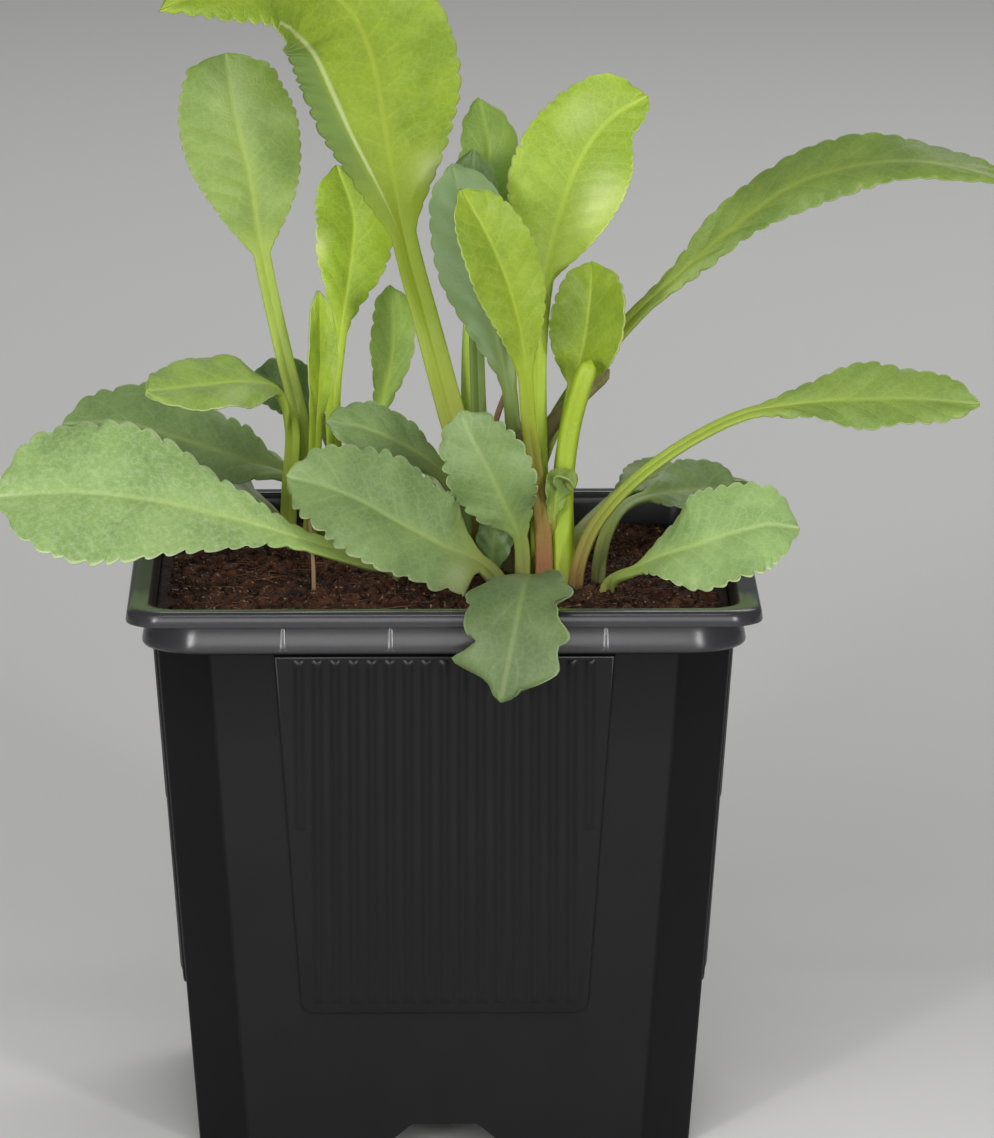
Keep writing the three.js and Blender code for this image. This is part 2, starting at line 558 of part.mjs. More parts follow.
// The blade's half width from its start, 0, to its tip, 1.
function bladeHalf(leaf, s) {
  if (s < leaf.widest) {
    const t = (s / leaf.widest) ** (leaf.fill ?? 1);
    return leaf.stalk + (leaf.half - leaf.stalk) * t * t * (3 - 2 * t);
  }
  const t = (s - leaf.widest) / (1 - leaf.widest);
  return leaf.half * (1 - t * t * 0.93) ** (leaf.point ?? 0.5);
}

// The local axes at one place of the midrib: along it, to its right, and out of the upper face.
function frameAt(curve, share, face) {
  const along = curve.getTangentAt(share);
  const out = face.clone().addScaledVector(along, -face.dot(along)).normalize();
  const right = new THREE.Vector3().crossVectors(along, out);
  return { origin: curve.getPointAt(share), along, out, right };
}

// The point at q of the half width, from -1 at the left edge to 1 at the right, and the face's direction there.
function acrossPoint(frame, half, q, bends, lift) {
  const [inner, outer] = q < 0 ? bends.left : bends.right;
  const side = Math.sign(q);
  const parts = 4;
  let flat = 0;
  let rise = 0;
  let angle = 0;
  for (let i = 0; i < parts; i += 1) {
    const reach = ((i + 0.5) / parts) * Math.abs(q);
    angle = THREE.MathUtils.degToRad(inner + (outer - inner) * reach);
    flat += (Math.cos(angle) * Math.abs(q)) / parts;
    rise += (Math.sin(angle) * Math.abs(q)) / parts;
  }
  const point = frame.origin.clone()
    .addScaledVector(frame.right, side * flat * half)
    .addScaledVector(frame.out, rise * half + lift * q * q);
  const normal = frame.out.clone().multiplyScalar(Math.cos(angle))
    .addScaledVector(frame.right, -side * Math.sin(angle));
  return { point, normal };
}

const columns = [-1, -0.5, 0, 0.5, 1];
const flatBends = { left: [0, 0], right: [0, 0] };

// A leaf under construction: upper and lower points with the same numbers, and triangles of the upper side.
class Sheet {
  constructor() {
    this.upper = [];
    this.lower = [];
    this.faces = [];
  }

  add(place, keel, spare = 0) {
    const half = bladeThickness / 2;
    this.upper.push(place.point.clone().addScaledVector(place.normal, half + spare).toArray());
    this.lower.push(place.point.clone().addScaledVector(place.normal, -half - keel - spare).toArray());
    return this.upper.length - 1;
  }

  // Closes the two sides along the outline, which runs anticlockwise seen from above the upper side.
  close(outline) {
    const shift = this.upper.length;
    const triangles = [...this.faces];
    for (const [a, b, c] of this.faces) triangles.push([a + shift, c + shift, b + shift]);
    outline.forEach((a, i) => {
      const b = outline[(i + 1) % outline.length];
      triangles.push([a + shift, b + shift, b], [a + shift, b, a]);
    });
    return closedGeometry([...this.upper, ...this.lower], triangles);
  }
}

function joinRows(sheet, low, high, from, to) {
  for (let c = from; c < to; c += 1) {
    sheet.faces.push([low[c], low[c + 1], high[c + 1]], [low[c], high[c + 1], high[c]]);
  }
}

// One row of five points across. spare swells it all round, for the hole that it stands in.
function addRow(sheet, frame, half, bends, lift, keel, spare = 0) {
  return columns.map((q) => {
    const depth = q === 0 ? keel : Math.abs(q) < 1 ? keel * keelShare : 0;
    return sheet.add(acrossPoint(frame, half + spare, q, bends, lift), depth, spare);
  });
}

function stalkRows(sheet, leaf, curve, end, spare = 0) {
  const face = new THREE.Vector3(...leaf.face);
  const rows = [];
  for (let i = 0; i <= stalkSteps; i += 1) {
    const t = i / stalkSteps;
    const share = Math.max(t * end, 0.0001);
    const flare = 1 + 0.25 * (1 - t) ** 2;
    const keel = stalkKeel * (leaf.stalk / 1.2) * (1 - 0.25 * t);
    rows.push(addRow(sheet, frameAt(curve, share, face), leaf.stalk * flare, flatBends, 0, keel, spare));
  }
  for (let i = 0; i < stalkSteps; i += 1) joinRows(sheet, rows[i], rows[i + 1], 0, 4);
  return rows;
}

// The scalloped edge between two rows: a tooth of two points on each side, leaning to the tip.
function addTooth(sheet, low, high, right, left) {
  const [ra, rb] = right;
  const [la, lb] = left;
  sheet.faces.push([low[3], low[4], ra], [low[3], ra, rb], [low[3], rb, high[3]], [high[3], rb, high[4]]);
  sheet.faces.push([low[0], low[1], la], [la, low[1], lb], [lb, low[1], high[1]], [lb, high[1], high[0]]);
}

function leafGeometry(leaf) {
  const curve = pathCurve(leaf.path);
  const start = lengthShare(curve, leaf.bladeAt);
  const sheet = new Sheet();
  const stalk = stalkRows(sheet, leaf, curve, start);
  const faceFrom = new THREE.Vector3(...leaf.face);
  const faceTo = new THREE.Vector3(...leaf.tipFace);
  const seed = leaf.name.length * 1.7 + leaf.teeth;

  const placeAt = (s, q, reach) => {
    const ease = Math.min(1, s * 4);
    const frame = frameAt(curve, start + (1 - start) * s, faceFrom.clone().lerp(faceTo, s));
    const bends = { left: leaf.left.map((a) => a * ease), right: leaf.right.map((a) => a * ease) };
    const lift = leaf.wave * ease * Math.sin(s * 17 + seed + (q < 0 ? 2.2 : 0));
    const share = q === 0 ? 1 : 1 + ((leaf.sides ?? [1, 1])[q < 0 ? 0 : 1] - 1) * ease;
    return acrossPoint(frame, bladeHalf(leaf, s), q * reach * share, bends, lift);
  };
  const keelAt = (s) => stalkKeel * (leaf.stalk / 1.2) * 0.75 * (1 - s) ** 1.5 + ribThickness;

  const right = [...stalk.map((row) => row[4])];
  const left = [...stalk.map((row) => row[0])];
  let low = stalk[stalkSteps];
  for (let i = 0; i < leaf.teeth; i += 1) {
    const s = ((i + 1) / leaf.teeth) * tipReach;
    const step = tipReach / leaf.teeth;
    const depth = (leaf.tooth ?? toothDepth) * Math.min(1, (i + 1) / 3);
    const high = columns.map((q) => {
      const keel = q === 0 ? keelAt(s) : Math.abs(q) < 1 ? keelAt(s) * keelShare * Math.max(0, 1 - s * 5) : 0;
      return sheet.add(placeAt(s, q, Math.abs(q) === 1 ? 1 - depth : 1), keel);
    });
    const tooth = (q) => [[0.35, 1 - depth * 0.3], [0.8, 1]]
      .map(([t, reach]) => sheet.add(placeAt(s - step * (1 - t), q, reach), 0));
    const teethRight = tooth(1);
    const teethLeft = tooth(-1);
    joinRows(sheet, low, high, 1, 3);
    addTooth(sheet, low, high, teethRight, teethLeft);
    right.push(...teethRight, high[4]);
    left.push(...teethLeft, high[0]);
    low = high;
  }
  const lobeRight = sheet.add(placeAt(0.985, 0.75, 1), 0);
  const lobeTip = sheet.add(placeAt(1, 0.05, 1), 0);
  const lobeLeft = sheet.add(placeAt(0.985, -0.75, 1), 0);
  sheet.faces.push([low[3], low[4], lobeRight], [low[2], low[3], lobeRight], [low[2], lobeRight, lobeTip]);
  sheet.faces.push([low[2], lobeTip, lobeLeft], [low[1], low[2], lobeLeft], [low[0], low[1], lobeLeft]);
  const base = stalk[0].slice(1, 4);
  return sheet.close([...base, ...right, lobeRight, lobeTip, lobeLeft, ...left.reverse()]);
}

function bareStalkGeometry(stalk) {
  const curve = pathCurve(stalk.path);
  const sheet = new Sheet();
  const rows = stalkRows(sheet, stalk, curve, 0.97);
  const frame = frameAt(curve, 0.9999, new THREE.Vector3(...stalk.face));
  const end = addRow(sheet, frame, stalk.stalk * 0.55, flatBends, 0, stalkKeel * 0.4);
  joinRows(sheet, rows[stalkSteps], end, 0, 4);
  const all = [...rows, end];
  const outline = [...all[0].slice(1, 4), ...all.map((row) => row[4]), ...end.slice(1, 4).reverse(),
    ...all.map((row) => row[0]).reverse()];
  return sheet.close(outline);
}

// The hole that a stalk stands in: its own form, swollen by the gap, from below its end to above the soil.
function stalkHole(plant) {
  const below = plant.path.map((p, i) => (i === 0 ? [p[0], p[1], p[2] - holeGap] : p));
  const curve = pathCurve(below);
  const end = plant.bladeAt ? lengthShare(curve, plant.bladeAt) : 0.5;
  const sheet = new Sheet();
  const rows = stalkRows(sheet, plant, curve, end, holeGap);
  const top = rows[stalkSteps];
  const outline = [...rows[0].slice(1, 4), ...rows.map((row) => row[4]), ...top.slice(1, 4).reverse(),
    ...rows.map((row) => row[0]).reverse()];
  return solidOf(sheet.close(outline));
}

const potMesh = meshOf('pot', geometryOf(potSolid()), black);

let soil = soilForm();
for (const plant of [...leaves, ...bareStalks]) soil = soil.subtract(stalkHole(plant));

const daisy = new THREE.Group();
daisy.add(potMesh);
daisy.add(meshOf('soil', geometryOf(soil), earth));
for (const leaf of leaves) daisy.add(meshOf(leaf.name, leafGeometry(leaf), leaf.look));
for (const stalk of bareStalks) daisy.add(meshOf(stalk.name, bareStalkGeometry(stalk), stalk.look));

export default daisy;
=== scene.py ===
import math
import bpy
import bmesh
import numpy as np
from mathutils import Matrix, Vector, noise


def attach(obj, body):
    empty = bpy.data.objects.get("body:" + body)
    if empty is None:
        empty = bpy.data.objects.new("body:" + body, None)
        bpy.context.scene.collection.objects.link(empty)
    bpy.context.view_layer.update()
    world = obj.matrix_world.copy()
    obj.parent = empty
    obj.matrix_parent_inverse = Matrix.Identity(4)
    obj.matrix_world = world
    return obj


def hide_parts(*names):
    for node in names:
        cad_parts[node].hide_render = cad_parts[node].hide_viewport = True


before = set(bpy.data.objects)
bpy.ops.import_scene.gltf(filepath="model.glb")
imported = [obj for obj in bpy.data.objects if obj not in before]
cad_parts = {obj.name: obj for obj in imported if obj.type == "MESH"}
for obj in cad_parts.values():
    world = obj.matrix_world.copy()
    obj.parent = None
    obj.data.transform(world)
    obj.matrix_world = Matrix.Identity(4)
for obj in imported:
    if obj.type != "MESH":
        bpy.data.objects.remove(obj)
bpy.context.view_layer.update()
print("frame loaded:", len(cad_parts), "solids")

mm = 0.001


def linearColour(hexText, alpha=1.0):
    # sRGB hex to the linear values that shaders want
    parts = [int(hexText[i:i + 2], 16) / 255 for i in (1, 3, 5)]
    return [c / 12.92 if c <= 0.04045 else ((c + 0.055) / 1.055) ** 2.4 for c in parts] + [alpha]


def addNode(tree, kind, settings=None, inputs=None, links=None):
    # one node, its settings, its unlinked inputs and what is wired into it
    node = tree.nodes.new(kind)
    for name, value in (settings or {}).items():
        setattr(node, name, value)
    for key, value in (inputs or {}).items():
        node.inputs[key].default_value = value
    for key, source in (links or {}).items():
        tree.links.new(source, node.inputs[key])
    return node


def newMaterial(name):
    material = bpy.data.materials.new(name)
    material.use_nodes = True
    tree = material.node_tree
    tree.nodes.clear()
    return material, tree


def meshObject(name, points, faces, material=None, smooth=True):
    # points in millimetres
    mesh = bpy.data.meshes.new(name)
    mesh.from_pydata([tuple(float(c) * mm for c in p) for p in points], [], [tuple(f) for f in faces])
    mesh.validate()
    mesh.update()
    thing = bpy.data.objects.new(name, mesh)
    bpy.context.scene.collection.objects.link(thing)
    if smooth:
        mesh.polygons.foreach_set("use_smooth", [True] * len(mesh.polygons))
    if material:
        mesh.materials.append(material)
    return thing


def bakeModifiers(thing):
    # the evaluated result becomes the object's own plain mesh
    bpy.context.view_layer.update()
    graph = bpy.context.evaluated_depsgraph_get()
    made = bpy.data.meshes.new_from_object(thing.evaluated_get(graph), preserve_all_data_layers=True, depsgraph=graph)
    thing.modifiers.clear()
    old = thing.data
    thing.data = made
    bpy.data.meshes.remove(old)
    return thing


def joinPieces(name, pieces):
    # several mesh objects made into one
    first = pieces[0]
    bpy.ops.object.select_all(action="DESELECT")
    for piece in pieces:
        piece.select_set(True)
    bpy.context.view_layer.objects.active = first
    bpy.ops.object.join()
    first.name = name
    first.data.name = name
    return first


def softNoise(x, y=0.0, seed=0):
    # smooth repeatable wobble between -1 and 1
    return (math.sin(x * 1.7 + seed * 3.1 + y * 0.9) + math.sin(x * 3.1 - y * 2.3 + seed * 1.3) * 0.6
            + math.sin(x * 5.3 + y * 4.1 + seed * 2.7) * 0.35) / 1.95


cameraView = {
    "azimuth": -0.731, "elevation": 11.829,   # degrees, at the photograph's angle
    "distance": 1276.0,                        # mm
    "aim": (7.95, 0.0, 78.83),
    "pixelFocal": 8756.3, "pixelsHigh": 1138,  # the photograph's own size
}


def buildCamera():
    turn, rise = math.radians(cameraView["azimuth"]), math.radians(cameraView["elevation"])
    back = Vector((math.sin(turn) * math.cos(rise), -math.cos(turn) * math.cos(rise), math.sin(rise)))
    aim = Vector(cameraView["aim"]) * mm
    data = bpy.data.cameras.new("photoCamera")
    data.sensor_width = 36
    data.lens = 36 * cameraView["pixelFocal"] / cameraView["pixelsHigh"]
    data.clip_start, data.clip_end = 0.05, 20
    camera = bpy.data.objects.new("photoCamera", data)
    camera.location = aim + back * cameraView["distance"] * mm
    camera.rotation_euler = (-back).to_track_quat("-Z", "Y").to_euler()
    bpy.context.scene.collection.objects.link(camera)
    bpy.context.scene.camera = camera


buildCamera()
print("camera placed")


def pottedPlastic():
    # Injection moulded black polypropylene: a satin skin with a faint tooled grain and dusty soft patches
    material, tree = newMaterial("mouldedBlackPolypropylene")
    place = addNode(tree, "ShaderNodeTexCoord").outputs["Object"]
    shade = addNode(tree, "ShaderNodeAttribute", {"attribute_name": "recess"}).outputs["Fac"]
    cloud = addNode(tree, "ShaderNodeTexNoise", None, {"Scale": 60.0, "Detail": 4.0, "Roughness": 0.6}, {"Vector": place})
    grain = addNode(tree, "ShaderNodeTexNoise", None, {"Scale": 1600.0, "Detail": 2.0}, {"Vector": place})  # 0.6 mm
    stretch = addNode(tree, "ShaderNodeMapping", None, {"Scale": (900.0, 900.0, 25.0)}, {"Vector": place})
    draw = addNode(tree, "ShaderNodeTexNoise", None, {"Scale": 1.0, "Detail": 3.0}, {"Vector": stretch.outputs["Vector"]})
    base = addNode(tree, "ShaderNodeMix", {"data_type": "RGBA"}, None, {"Factor": cloud.outputs["Fac"]})
    base.inputs[6].default_value = linearColour("#101011")
    base.inputs[7].default_value = linearColour("#161618")
    # painted shade: near black laid under the collar and, fainter, inside the pot
    dark = addNode(tree, "ShaderNodeMix", {"data_type": "RGBA"}, None, {"Factor": shade, 6: base.outputs[2]})
    dark.inputs[7].default_value = linearColour("#070708")
    handled = addNode(tree, "ShaderNodeAttribute", {"attribute_name": "handled"}).outputs["Fac"]
    paintedRimSheen = addNode(tree, "ShaderNodeMix", {"data_type": "RGBA"}, None, {"Factor": handled, 6: dark.outputs[2]})
    paintedRimSheen.inputs[7].default_value = linearColour("#2f2f31")   # the rim, painted a lighter grey: a painted reflection of the lamps above
    # the rim is polished by handling, the cut corners keep the mould's matt finish
    matt = addNode(tree, "ShaderNodeAttribute", {"attribute_name": "matt"}).outputs["Fac"]
    rough = addNode(tree, "ShaderNodeMapRange", None, {"To Min": 0.27, "To Max": 0.36}, {"Value": cloud.outputs["Fac"]})
    polish = addNode(tree, "ShaderNodeMath", {"operation": "MULTIPLY_ADD"}, {1: -0.08}, {0: handled, 2: rough.outputs[0]})
    dull = addNode(tree, "ShaderNodeMath", {"operation": "MULTIPLY_ADD"}, {1: 0.1}, {0: matt, 2: polish.outputs[0]})
    gloss = addNode(tree, "ShaderNodeMath", {"operation": "MULTIPLY_ADD"}, {1: 0.18, 2: 0.2}, {0: handled})
    sheen = addNode(tree, "ShaderNodeMath", {"operation": "MULTIPLY_ADD"}, {1: -0.12}, {0: matt, 2: gloss.outputs[0]})
    mixed = addNode(tree, "ShaderNodeMath", {"operation": "ADD"}, None, {0: grain.outputs["Fac"], 1: draw.outputs["Fac"]})
    bump = addNode(tree, "ShaderNodeBump", None, {"Strength": 0.12, "Distance": 0.00006}, {"Height": mixed.outputs[0]})
    shader = addNode(tree, "ShaderNodeBsdfPrincipled", None, {"IOR": 1.49},
                     {"Base Color": paintedRimSheen.outputs[2], "Roughness": dull.outputs[0], "Normal": bump.outputs[0],
                      "Specular IOR Level": sheen.outputs[0]})
    addNode(tree, "ShaderNodeOutputMaterial", None, None, {"Surface": shader.outputs[0]})
    return material


def coirEarth(name, low, high, speck, scale):
    # Moist coir and peat: matt crumbs from near black to rust brown, with paler flecks
    material, tree = newMaterial(name)
    place = addNode(tree, "ShaderNodeTexCoord").outputs["Object"]
    wide = addNode(tree, "ShaderNodeTexNoise", None, {"Scale": scale, "Detail": 5.0, "Roughness": 0.65}, {"Vector": place})
    fine = addNode(tree, "ShaderNodeTexNoise", None, {"Scale": scale * 5, "Detail": 3.0, "Roughness": 0.6}, {"Vector": place})
    ramp = addNode(tree, "ShaderNodeValToRGB", None, None, {"Fac": wide.outputs["Fac"]})
    ramp.color_ramp.elements[0].position, ramp.color_ramp.elements[0].color = 0.36, linearColour(low)
    ramp.color_ramp.elements[1].position, ramp.color_ramp.elements[1].color = 0.62, linearColour(high)
    fleck = addNode(tree, "ShaderNodeMapRange", None, {"From Min": 0.6, "From Max": 0.7}, {"Value": fine.outputs["Fac"]})
    base = addNode(tree, "ShaderNodeMix", {"data_type": "RGBA"}, None, {"Factor": fleck.outputs[0], 6: ramp.outputs[0]})
    base.inputs[7].default_value = linearColour(speck)
    bump = addNode(tree, "ShaderNodeBump", None, {"Strength": 0.6, "Distance": 0.0004}, {"Height": fine.outputs["Fac"]})
    shader = addNode(tree, "ShaderNodeBsdfPrincipled", None, {"Roughness": 0.92, "IOR": 1.4},
                     {"Base Color": base.outputs[2], "Normal": bump.outputs[0]})
    addNode(tree, "ShaderNodeOutputMaterial", None, None, {"Surface": shader.outputs[0]})
    return material


leafLooks = {
    # upper side, blotches, veins, edge, pale places, underside, stalk, foot of the stalk
    # bright: a yellower green, partly the young leaves' own colour, partly painted light shining through them from
    # behind
    "bright": dict(upper="#95ac30", blotch="#829b2a", vein="#b3c64c", edge="#b3c078", pale="#d9e0aa", under="#7f9850",
                   stalk="#98ae28", foot="#8f6238"),
    "mid": dict(upper="#869d48", blotch="#738c3e", vein="#a2b85e", edge="#a8b67c", pale="#bccb96", under="#7a9150",
                stalk="#9cb040", foot="#84633a"),
    "grey": dict(upper="#7b9358", blotch="#68804a", vein="#9aae74", edge="#aab78c", pale="#c2cda8", under="#7e9762",
                 stalk="#899e4a", foot="#7d5a3e"),
    # shaded: the leaf colours darkened as painted shade for leaves that lie in shade; its brown stalk foot also colours
    # the dried stalks
    "shaded": dict(upper="#5c7340", blotch="#4c6234", vein="#7a9052", edge="#849464", pale="#a3b088", under="#647a48",
                   stalk="#73883e", foot="#8a6650"),
}


def leafSkin(name, look):
    # Living leaf tissue: a waxy upper side with sunken side veins, paler and duller on the underside,
    # lit through a little where it is thin. Patterns follow the blade by its own attributes.
    material, tree = newMaterial(name)

    def attribute(title):
        return addNode(tree, "ShaderNodeAttribute", {"attribute_name": title}).outputs["Fac"]

    def reckon(operation, first, second=None):
        # a Math node on sockets or plain numbers
        node = addNode(tree, "ShaderNodeMath", {"operation": operation})
        for slot, value in enumerate(v for v in (first, second) if v is not None):
            if isinstance(value, (int, float)):
                node.inputs[slot].default_value = value
            else:
                tree.links.new(value, node.inputs[slot])
        return node.outputs[0]

    def blend(factor, first, second):
        mix = addNode(tree, "ShaderNodeMix", {"data_type": "RGBA"}, None, {"Factor": factor})
        if isinstance(first, str):
            mix.inputs[6].default_value = linearColour(first)
        else:
            tree.links.new(first, mix.inputs[6])
        mix.inputs[7].default_value = linearColour(second)
        return mix.outputs[2]

    def ranged(value, low, high, toLow=0.0, toHigh=1.0):
        made = addNode(tree, "ShaderNodeMapRange", {"interpolation_type": "SMOOTHSTEP"},
                       {"From Min": low, "From Max": high, "To Min": toLow, "To Max": toHigh}, {"Value": value})
        return made.outputs[0]

    place = addNode(tree, "ShaderNodeTexCoord").outputs["Object"]
    patch = addNode(tree, "ShaderNodeTexNoise", None, {"Scale": 110.0, "Detail": 4.0, "Roughness": 0.6}, {"Vector": place})
    cells = addNode(tree, "ShaderNodeTexVoronoi", {"feature": "DISTANCE_TO_EDGE"}, {"Scale": 900.0}, {"Vector": place})
    pores = addNode(tree, "ShaderNodeTexNoise", None, {"Scale": 2600.0, "Detail": 2.0}, {"Vector": place})  # 0.4 mm pits
    spots = addNode(tree, "ShaderNodeTexNoise", None, {"Scale": 1300.0, "Detail": 4.0}, {"Vector": place})  # 0.8 mm freckles
    net = ranged(cells.outputs["Distance"], 0.0, 0.12, 1.0, 0.0)   # tiny veins about 1.1 mm apart
    across = attribute("acrossMm")
    beat = reckon("FRACT", reckon("ADD", attribute("veinPhase"), 0.5))
    nearVein = reckon("ABSOLUTE", reckon("SUBTRACT", beat, 0.5))
    sideVein = reckon("MULTIPLY", ranged(nearVein, 0.0, 0.1, 0.2, 0.0), ranged(across, 6.0, 1.0, 0.2, 1.0))
    midVein = ranged(across, 0.1, 0.6, 0.5, 0.0)   # the midrib, 0.2 mm wide with soft flanks
    colour = blend(ranged(patch.outputs["Fac"], 0.36, 0.64), look["upper"], look["blotch"])
    colour = blend(reckon("MULTIPLY", net, 0.16), colour, look["vein"])
    colour = blend(reckon("MAXIMUM", midVein, sideVein), colour, look["vein"])
    freckles = reckon("MULTIPLY", ranged(spots.outputs["Fac"], 0.4, 0.7), attribute("speckle"))
    colour = blend(reckon("MULTIPLY", freckles, 0.32), colour, look["pale"])
    colour = blend(attribute("rim"), colour, look["edge"])
    # the underside colour, also laid on the upper side beyond a fold as painted shade
    colour = blend(attribute("beneath"), colour, look["under"])
    # pale places: partly paler tissue, partly painted highlight and sheen
    colour = blend(attribute("pale"), colour, look["pale"])
    # a painted highlight along the ridge of a fold
    paintedFoldHighlight = ranged(reckon("ABSOLUTE", attribute("foldGap")), 0.008, 0.045, 0.6, 0.0)
    colour = blend(paintedFoldHighlight, colour, look["pale"])
    colour = blend(attribute("stalkness"), colour, look["stalk"])
    colour = blend(attribute("footness"), colour, look["foot"])
    # each leaf's lightness: partly its own tone, partly painted light and shade for how it lies in the light
    tone = addNode(tree, "ShaderNodeHueSaturation", None, {"Hue": 0.5, "Saturation": 1.0}, {"Color": colour})
    tree.links.new(attribute("lightness"), tone.inputs["Value"])
    heights = reckon("ADD", reckon("MULTIPLY", net, 0.35), pores.outputs["Fac"])
    relief = addNode(tree, "ShaderNodeBump", {"invert": True}, {"Strength": 0.3, "Distance": 0.00012}, {"Height": heights})
    rough = ranged(patch.outputs["Fac"], 0.3, 0.7, 0.44, 0.58)
    shader = addNode(tree, "ShaderNodeBsdfPrincipled", None,
                     {"IOR": 1.4, "Subsurface Weight": 0.25, "Subsurface Radius": (0.6, 1.0, 0.2),
                      "Subsurface Scale": 0.0015},
                     {"Base Color": tone.outputs[0], "Roughness": rough, "Normal": relief.outputs[0]})
    addNode(tree, "ShaderNodeOutputMaterial", None, None, {"Surface": shader.outputs[0]})
    return material


plasticSkin = pottedPlastic()
earthSkin = coirEarth("moistCoirPeat", "#120907", "#3a1f15", "#6d4a3a", 420.0)
crumbSkin = coirEarth("coirCrumb", "#140a06", "#56331f", "#a5876c", 300.0)
fibreSkin = coirEarth("coirFibre", "#4a2c1a", "#855c40", "#b59174", 240.0)
leafSkins = {key: leafSkin("daisyLeaf" + key.title(), look) for key, look in leafLooks.items()}
print("materials made")


potSpec = {
    "height": 82.0, "footHalf": 35.25, "wallRise": 0.074, "chamfer": 7.0, "chamferRise": 0.005,
    "edgeRound": 1.3, "wall": 1.3, "collarHalf": 42.7, "collarBottom": 75.3, "lipHalf": 45.0, "lipBottom": 79.7,
    "mouthHalf": 41.5, "ledge": 76.2, "cornerRound": 5.0, "floor": (5.0, 6.5), "pad": 8.0,
    "drainRadius": 3.4, "drainAt": 20.5, "notchHigh": 5.0, "notchTop": 4.7, "notchFoot": 10.5,
    "panelProud": 0.8, "panelTop": 75.0, "panelBottom": 21.8, "panelHalfTop": 24.1, "panelHalfBottom": 20.4,
    "panelCorner": 1.8, "collarRound": 8.5, "mouthRound": 7.2,
    "ribs": 17, "ribPitch": 2.57, "ribHalf": 0.95, "ribProud": 0.3, "ribTop": 74.4,
    "ribBottom": 23.4, "ribEdgeGap": 0.8, "collarRibs": (-22.8, -7.6, 7.6, 22.8), "collarRibProud": 0.1,
    "collarRibHalf": 0.38,
}
squareToRound = 0.5858     # leg of the chamfer that a round corner of radius 1 takes the place of
halfEighth = math.tan(math.radians(22.5))


def potWallHalf(z):
    return potSpec["footHalf"] + potSpec["wallRise"] * z


def potLeg(z):
    return potSpec["chamfer"] + potSpec["chamferRise"] * z


def squareRing(half, leg, rounding, z, steps=4):
    # a square with cut corners, each of the eight edges turned on a small arc
    slip = rounding * halfEighth
    ring = []
    for quarter in range(4):
        turn = quarter * math.pi / 2
        centres = ((half - rounding, half - leg - slip, 0), (half - leg - slip, half - rounding, 45))
        for cx, cy, start in centres:
            for step in range(steps + 1):
                angle = math.radians(start + 45 * step / steps)
                x, y = cx + rounding * math.cos(angle), cy + rounding * math.sin(angle)
                ring.append((x * math.cos(turn) - y * math.sin(turn), x * math.sin(turn) + y * math.cos(turn), z))
    return ring


def roundRing(half, radius, z):
    return squareRing(half, radius * squareToRound, radius, z)


def wallRing(inset, z):
    return squareRing(potWallHalf(z) - inset, potLeg(z) - squareToRound * inset, potSpec["edgeRound"], z)


def loftRings(rings):
    # rings of equal count, in order, with both ends closed
    count = len(rings[0])
    points = [p for ring in rings for p in ring]
    faces = []
    for r in range(len(rings) - 1):
        for i in range(count):
            a, b = r * count + i, r * count + (i + 1) % count
            faces.append((a, b, b + count, a + count))
    faces.append(tuple(reversed(range(count))))
    faces.append(tuple(range((len(rings) - 1) * count, len(rings) * count)))
    return points, faces


def potShell():
    s = potSpec
    wall, mouth, ledge = s["wall"], s["mouthHalf"], s["ledge"]
    outer = [wallRing(0.25, 0.0), wallRing(0.0, 0.3), wallRing(0.0, 20.0), wallRing(0.0, 40.0), wallRing(0.0, 60.0),
             wallRing(0.0, s["collarBottom"] - 0.5), wallRing(-0.12, s["collarBottom"])]
    collar = [(s["collarHalf"] - 0.6, s["collarBottom"] + 0.1), (s["collarHalf"] - 0.12, s["collarBottom"] + 0.25),
              (s["collarHalf"] + 0.12, s["collarBottom"] + 0.6), (s["collarHalf"] + 0.15, s["collarBottom"] + 0.9),
              (s["collarHalf"] - 0.1, s["collarBottom"] + 2.2), (s["collarHalf"] - 0.37, s["lipBottom"] - 0.75),
              (s["collarHalf"] - 0.34, s["lipBottom"] - 0.35), (s["collarHalf"] + 0.1, s["lipBottom"])]
    lip = [(s["lipHalf"] - 0.35, s["lipBottom"] + 0.03), (s["lipHalf"] - 0.08, s["lipBottom"] + 0.15),
           (s["lipHalf"], s["lipBottom"] + 0.4), (s["lipHalf"] - 0.16, s["height"] - 0.7),
           (s["lipHalf"] - 0.35, s["height"] - 0.3), (s["lipHalf"] - 0.7, s["height"] - 0.07),
           (s["lipHalf"] - 1.2, s["height"])]
    inner = [(mouth + 0.9, 4.6, s["height"]), (mouth + 0.4, 5.0, s["height"] - 0.12),
             (mouth + 0.1, 5.4, s["height"] - 0.5), (mouth, 6.2, s["height"] - 1.2),
             (mouth - 0.1, s["mouthRound"], s["lipBottom"] + 0.3), (mouth - 0.2, s["mouthRound"], ledge + 0.4),
             (mouth - 0.5, s["mouthRound"], ledge)]
    rings = list(outer)
    rings += [roundRing(half, s["collarRound"], z) for half, z in collar]
    rings += [roundRing(half, s["cornerRound"], z) for half, z in lip]
    rings += [roundRing(half, radius, z) for half, radius, z in inner]
    rings += [wallRing(wall, ledge - 0.1), wallRing(wall, 40.0), wallRing(wall, s["floor"][1])]
    points, faces = loftRings(rings)
    faces = [f for f in faces if len(f) == 4 or f[0] != len(rings[0]) - 1]
    # under the floor: the skirt's inner side and the floor's underside
    base = len(points)
    count = len(rings[0])
    under = [wallRing(wall - 0.25, 0.0), wallRing(wall, 0.3), wallRing(wall, s["floor"][0])]
    points += [p for ring in under for p in ring]
    for i in range(count):
        j = (i + 1) % count
        faces.append((i, base + i, base + j, j))
        for r in range(2):
            a, b = base + r * count + i, base + r * count + j
            faces.append((a, a + count, b + count, b))
    faces.append(tuple(range(base + 2 * count, base + 3 * count))[::-1])
    shell = meshObject("potShell", points, faces)
    return shell


def cutter(name, points, faces):
    thing = meshObject(name, points, faces, smooth=False)
    return thing


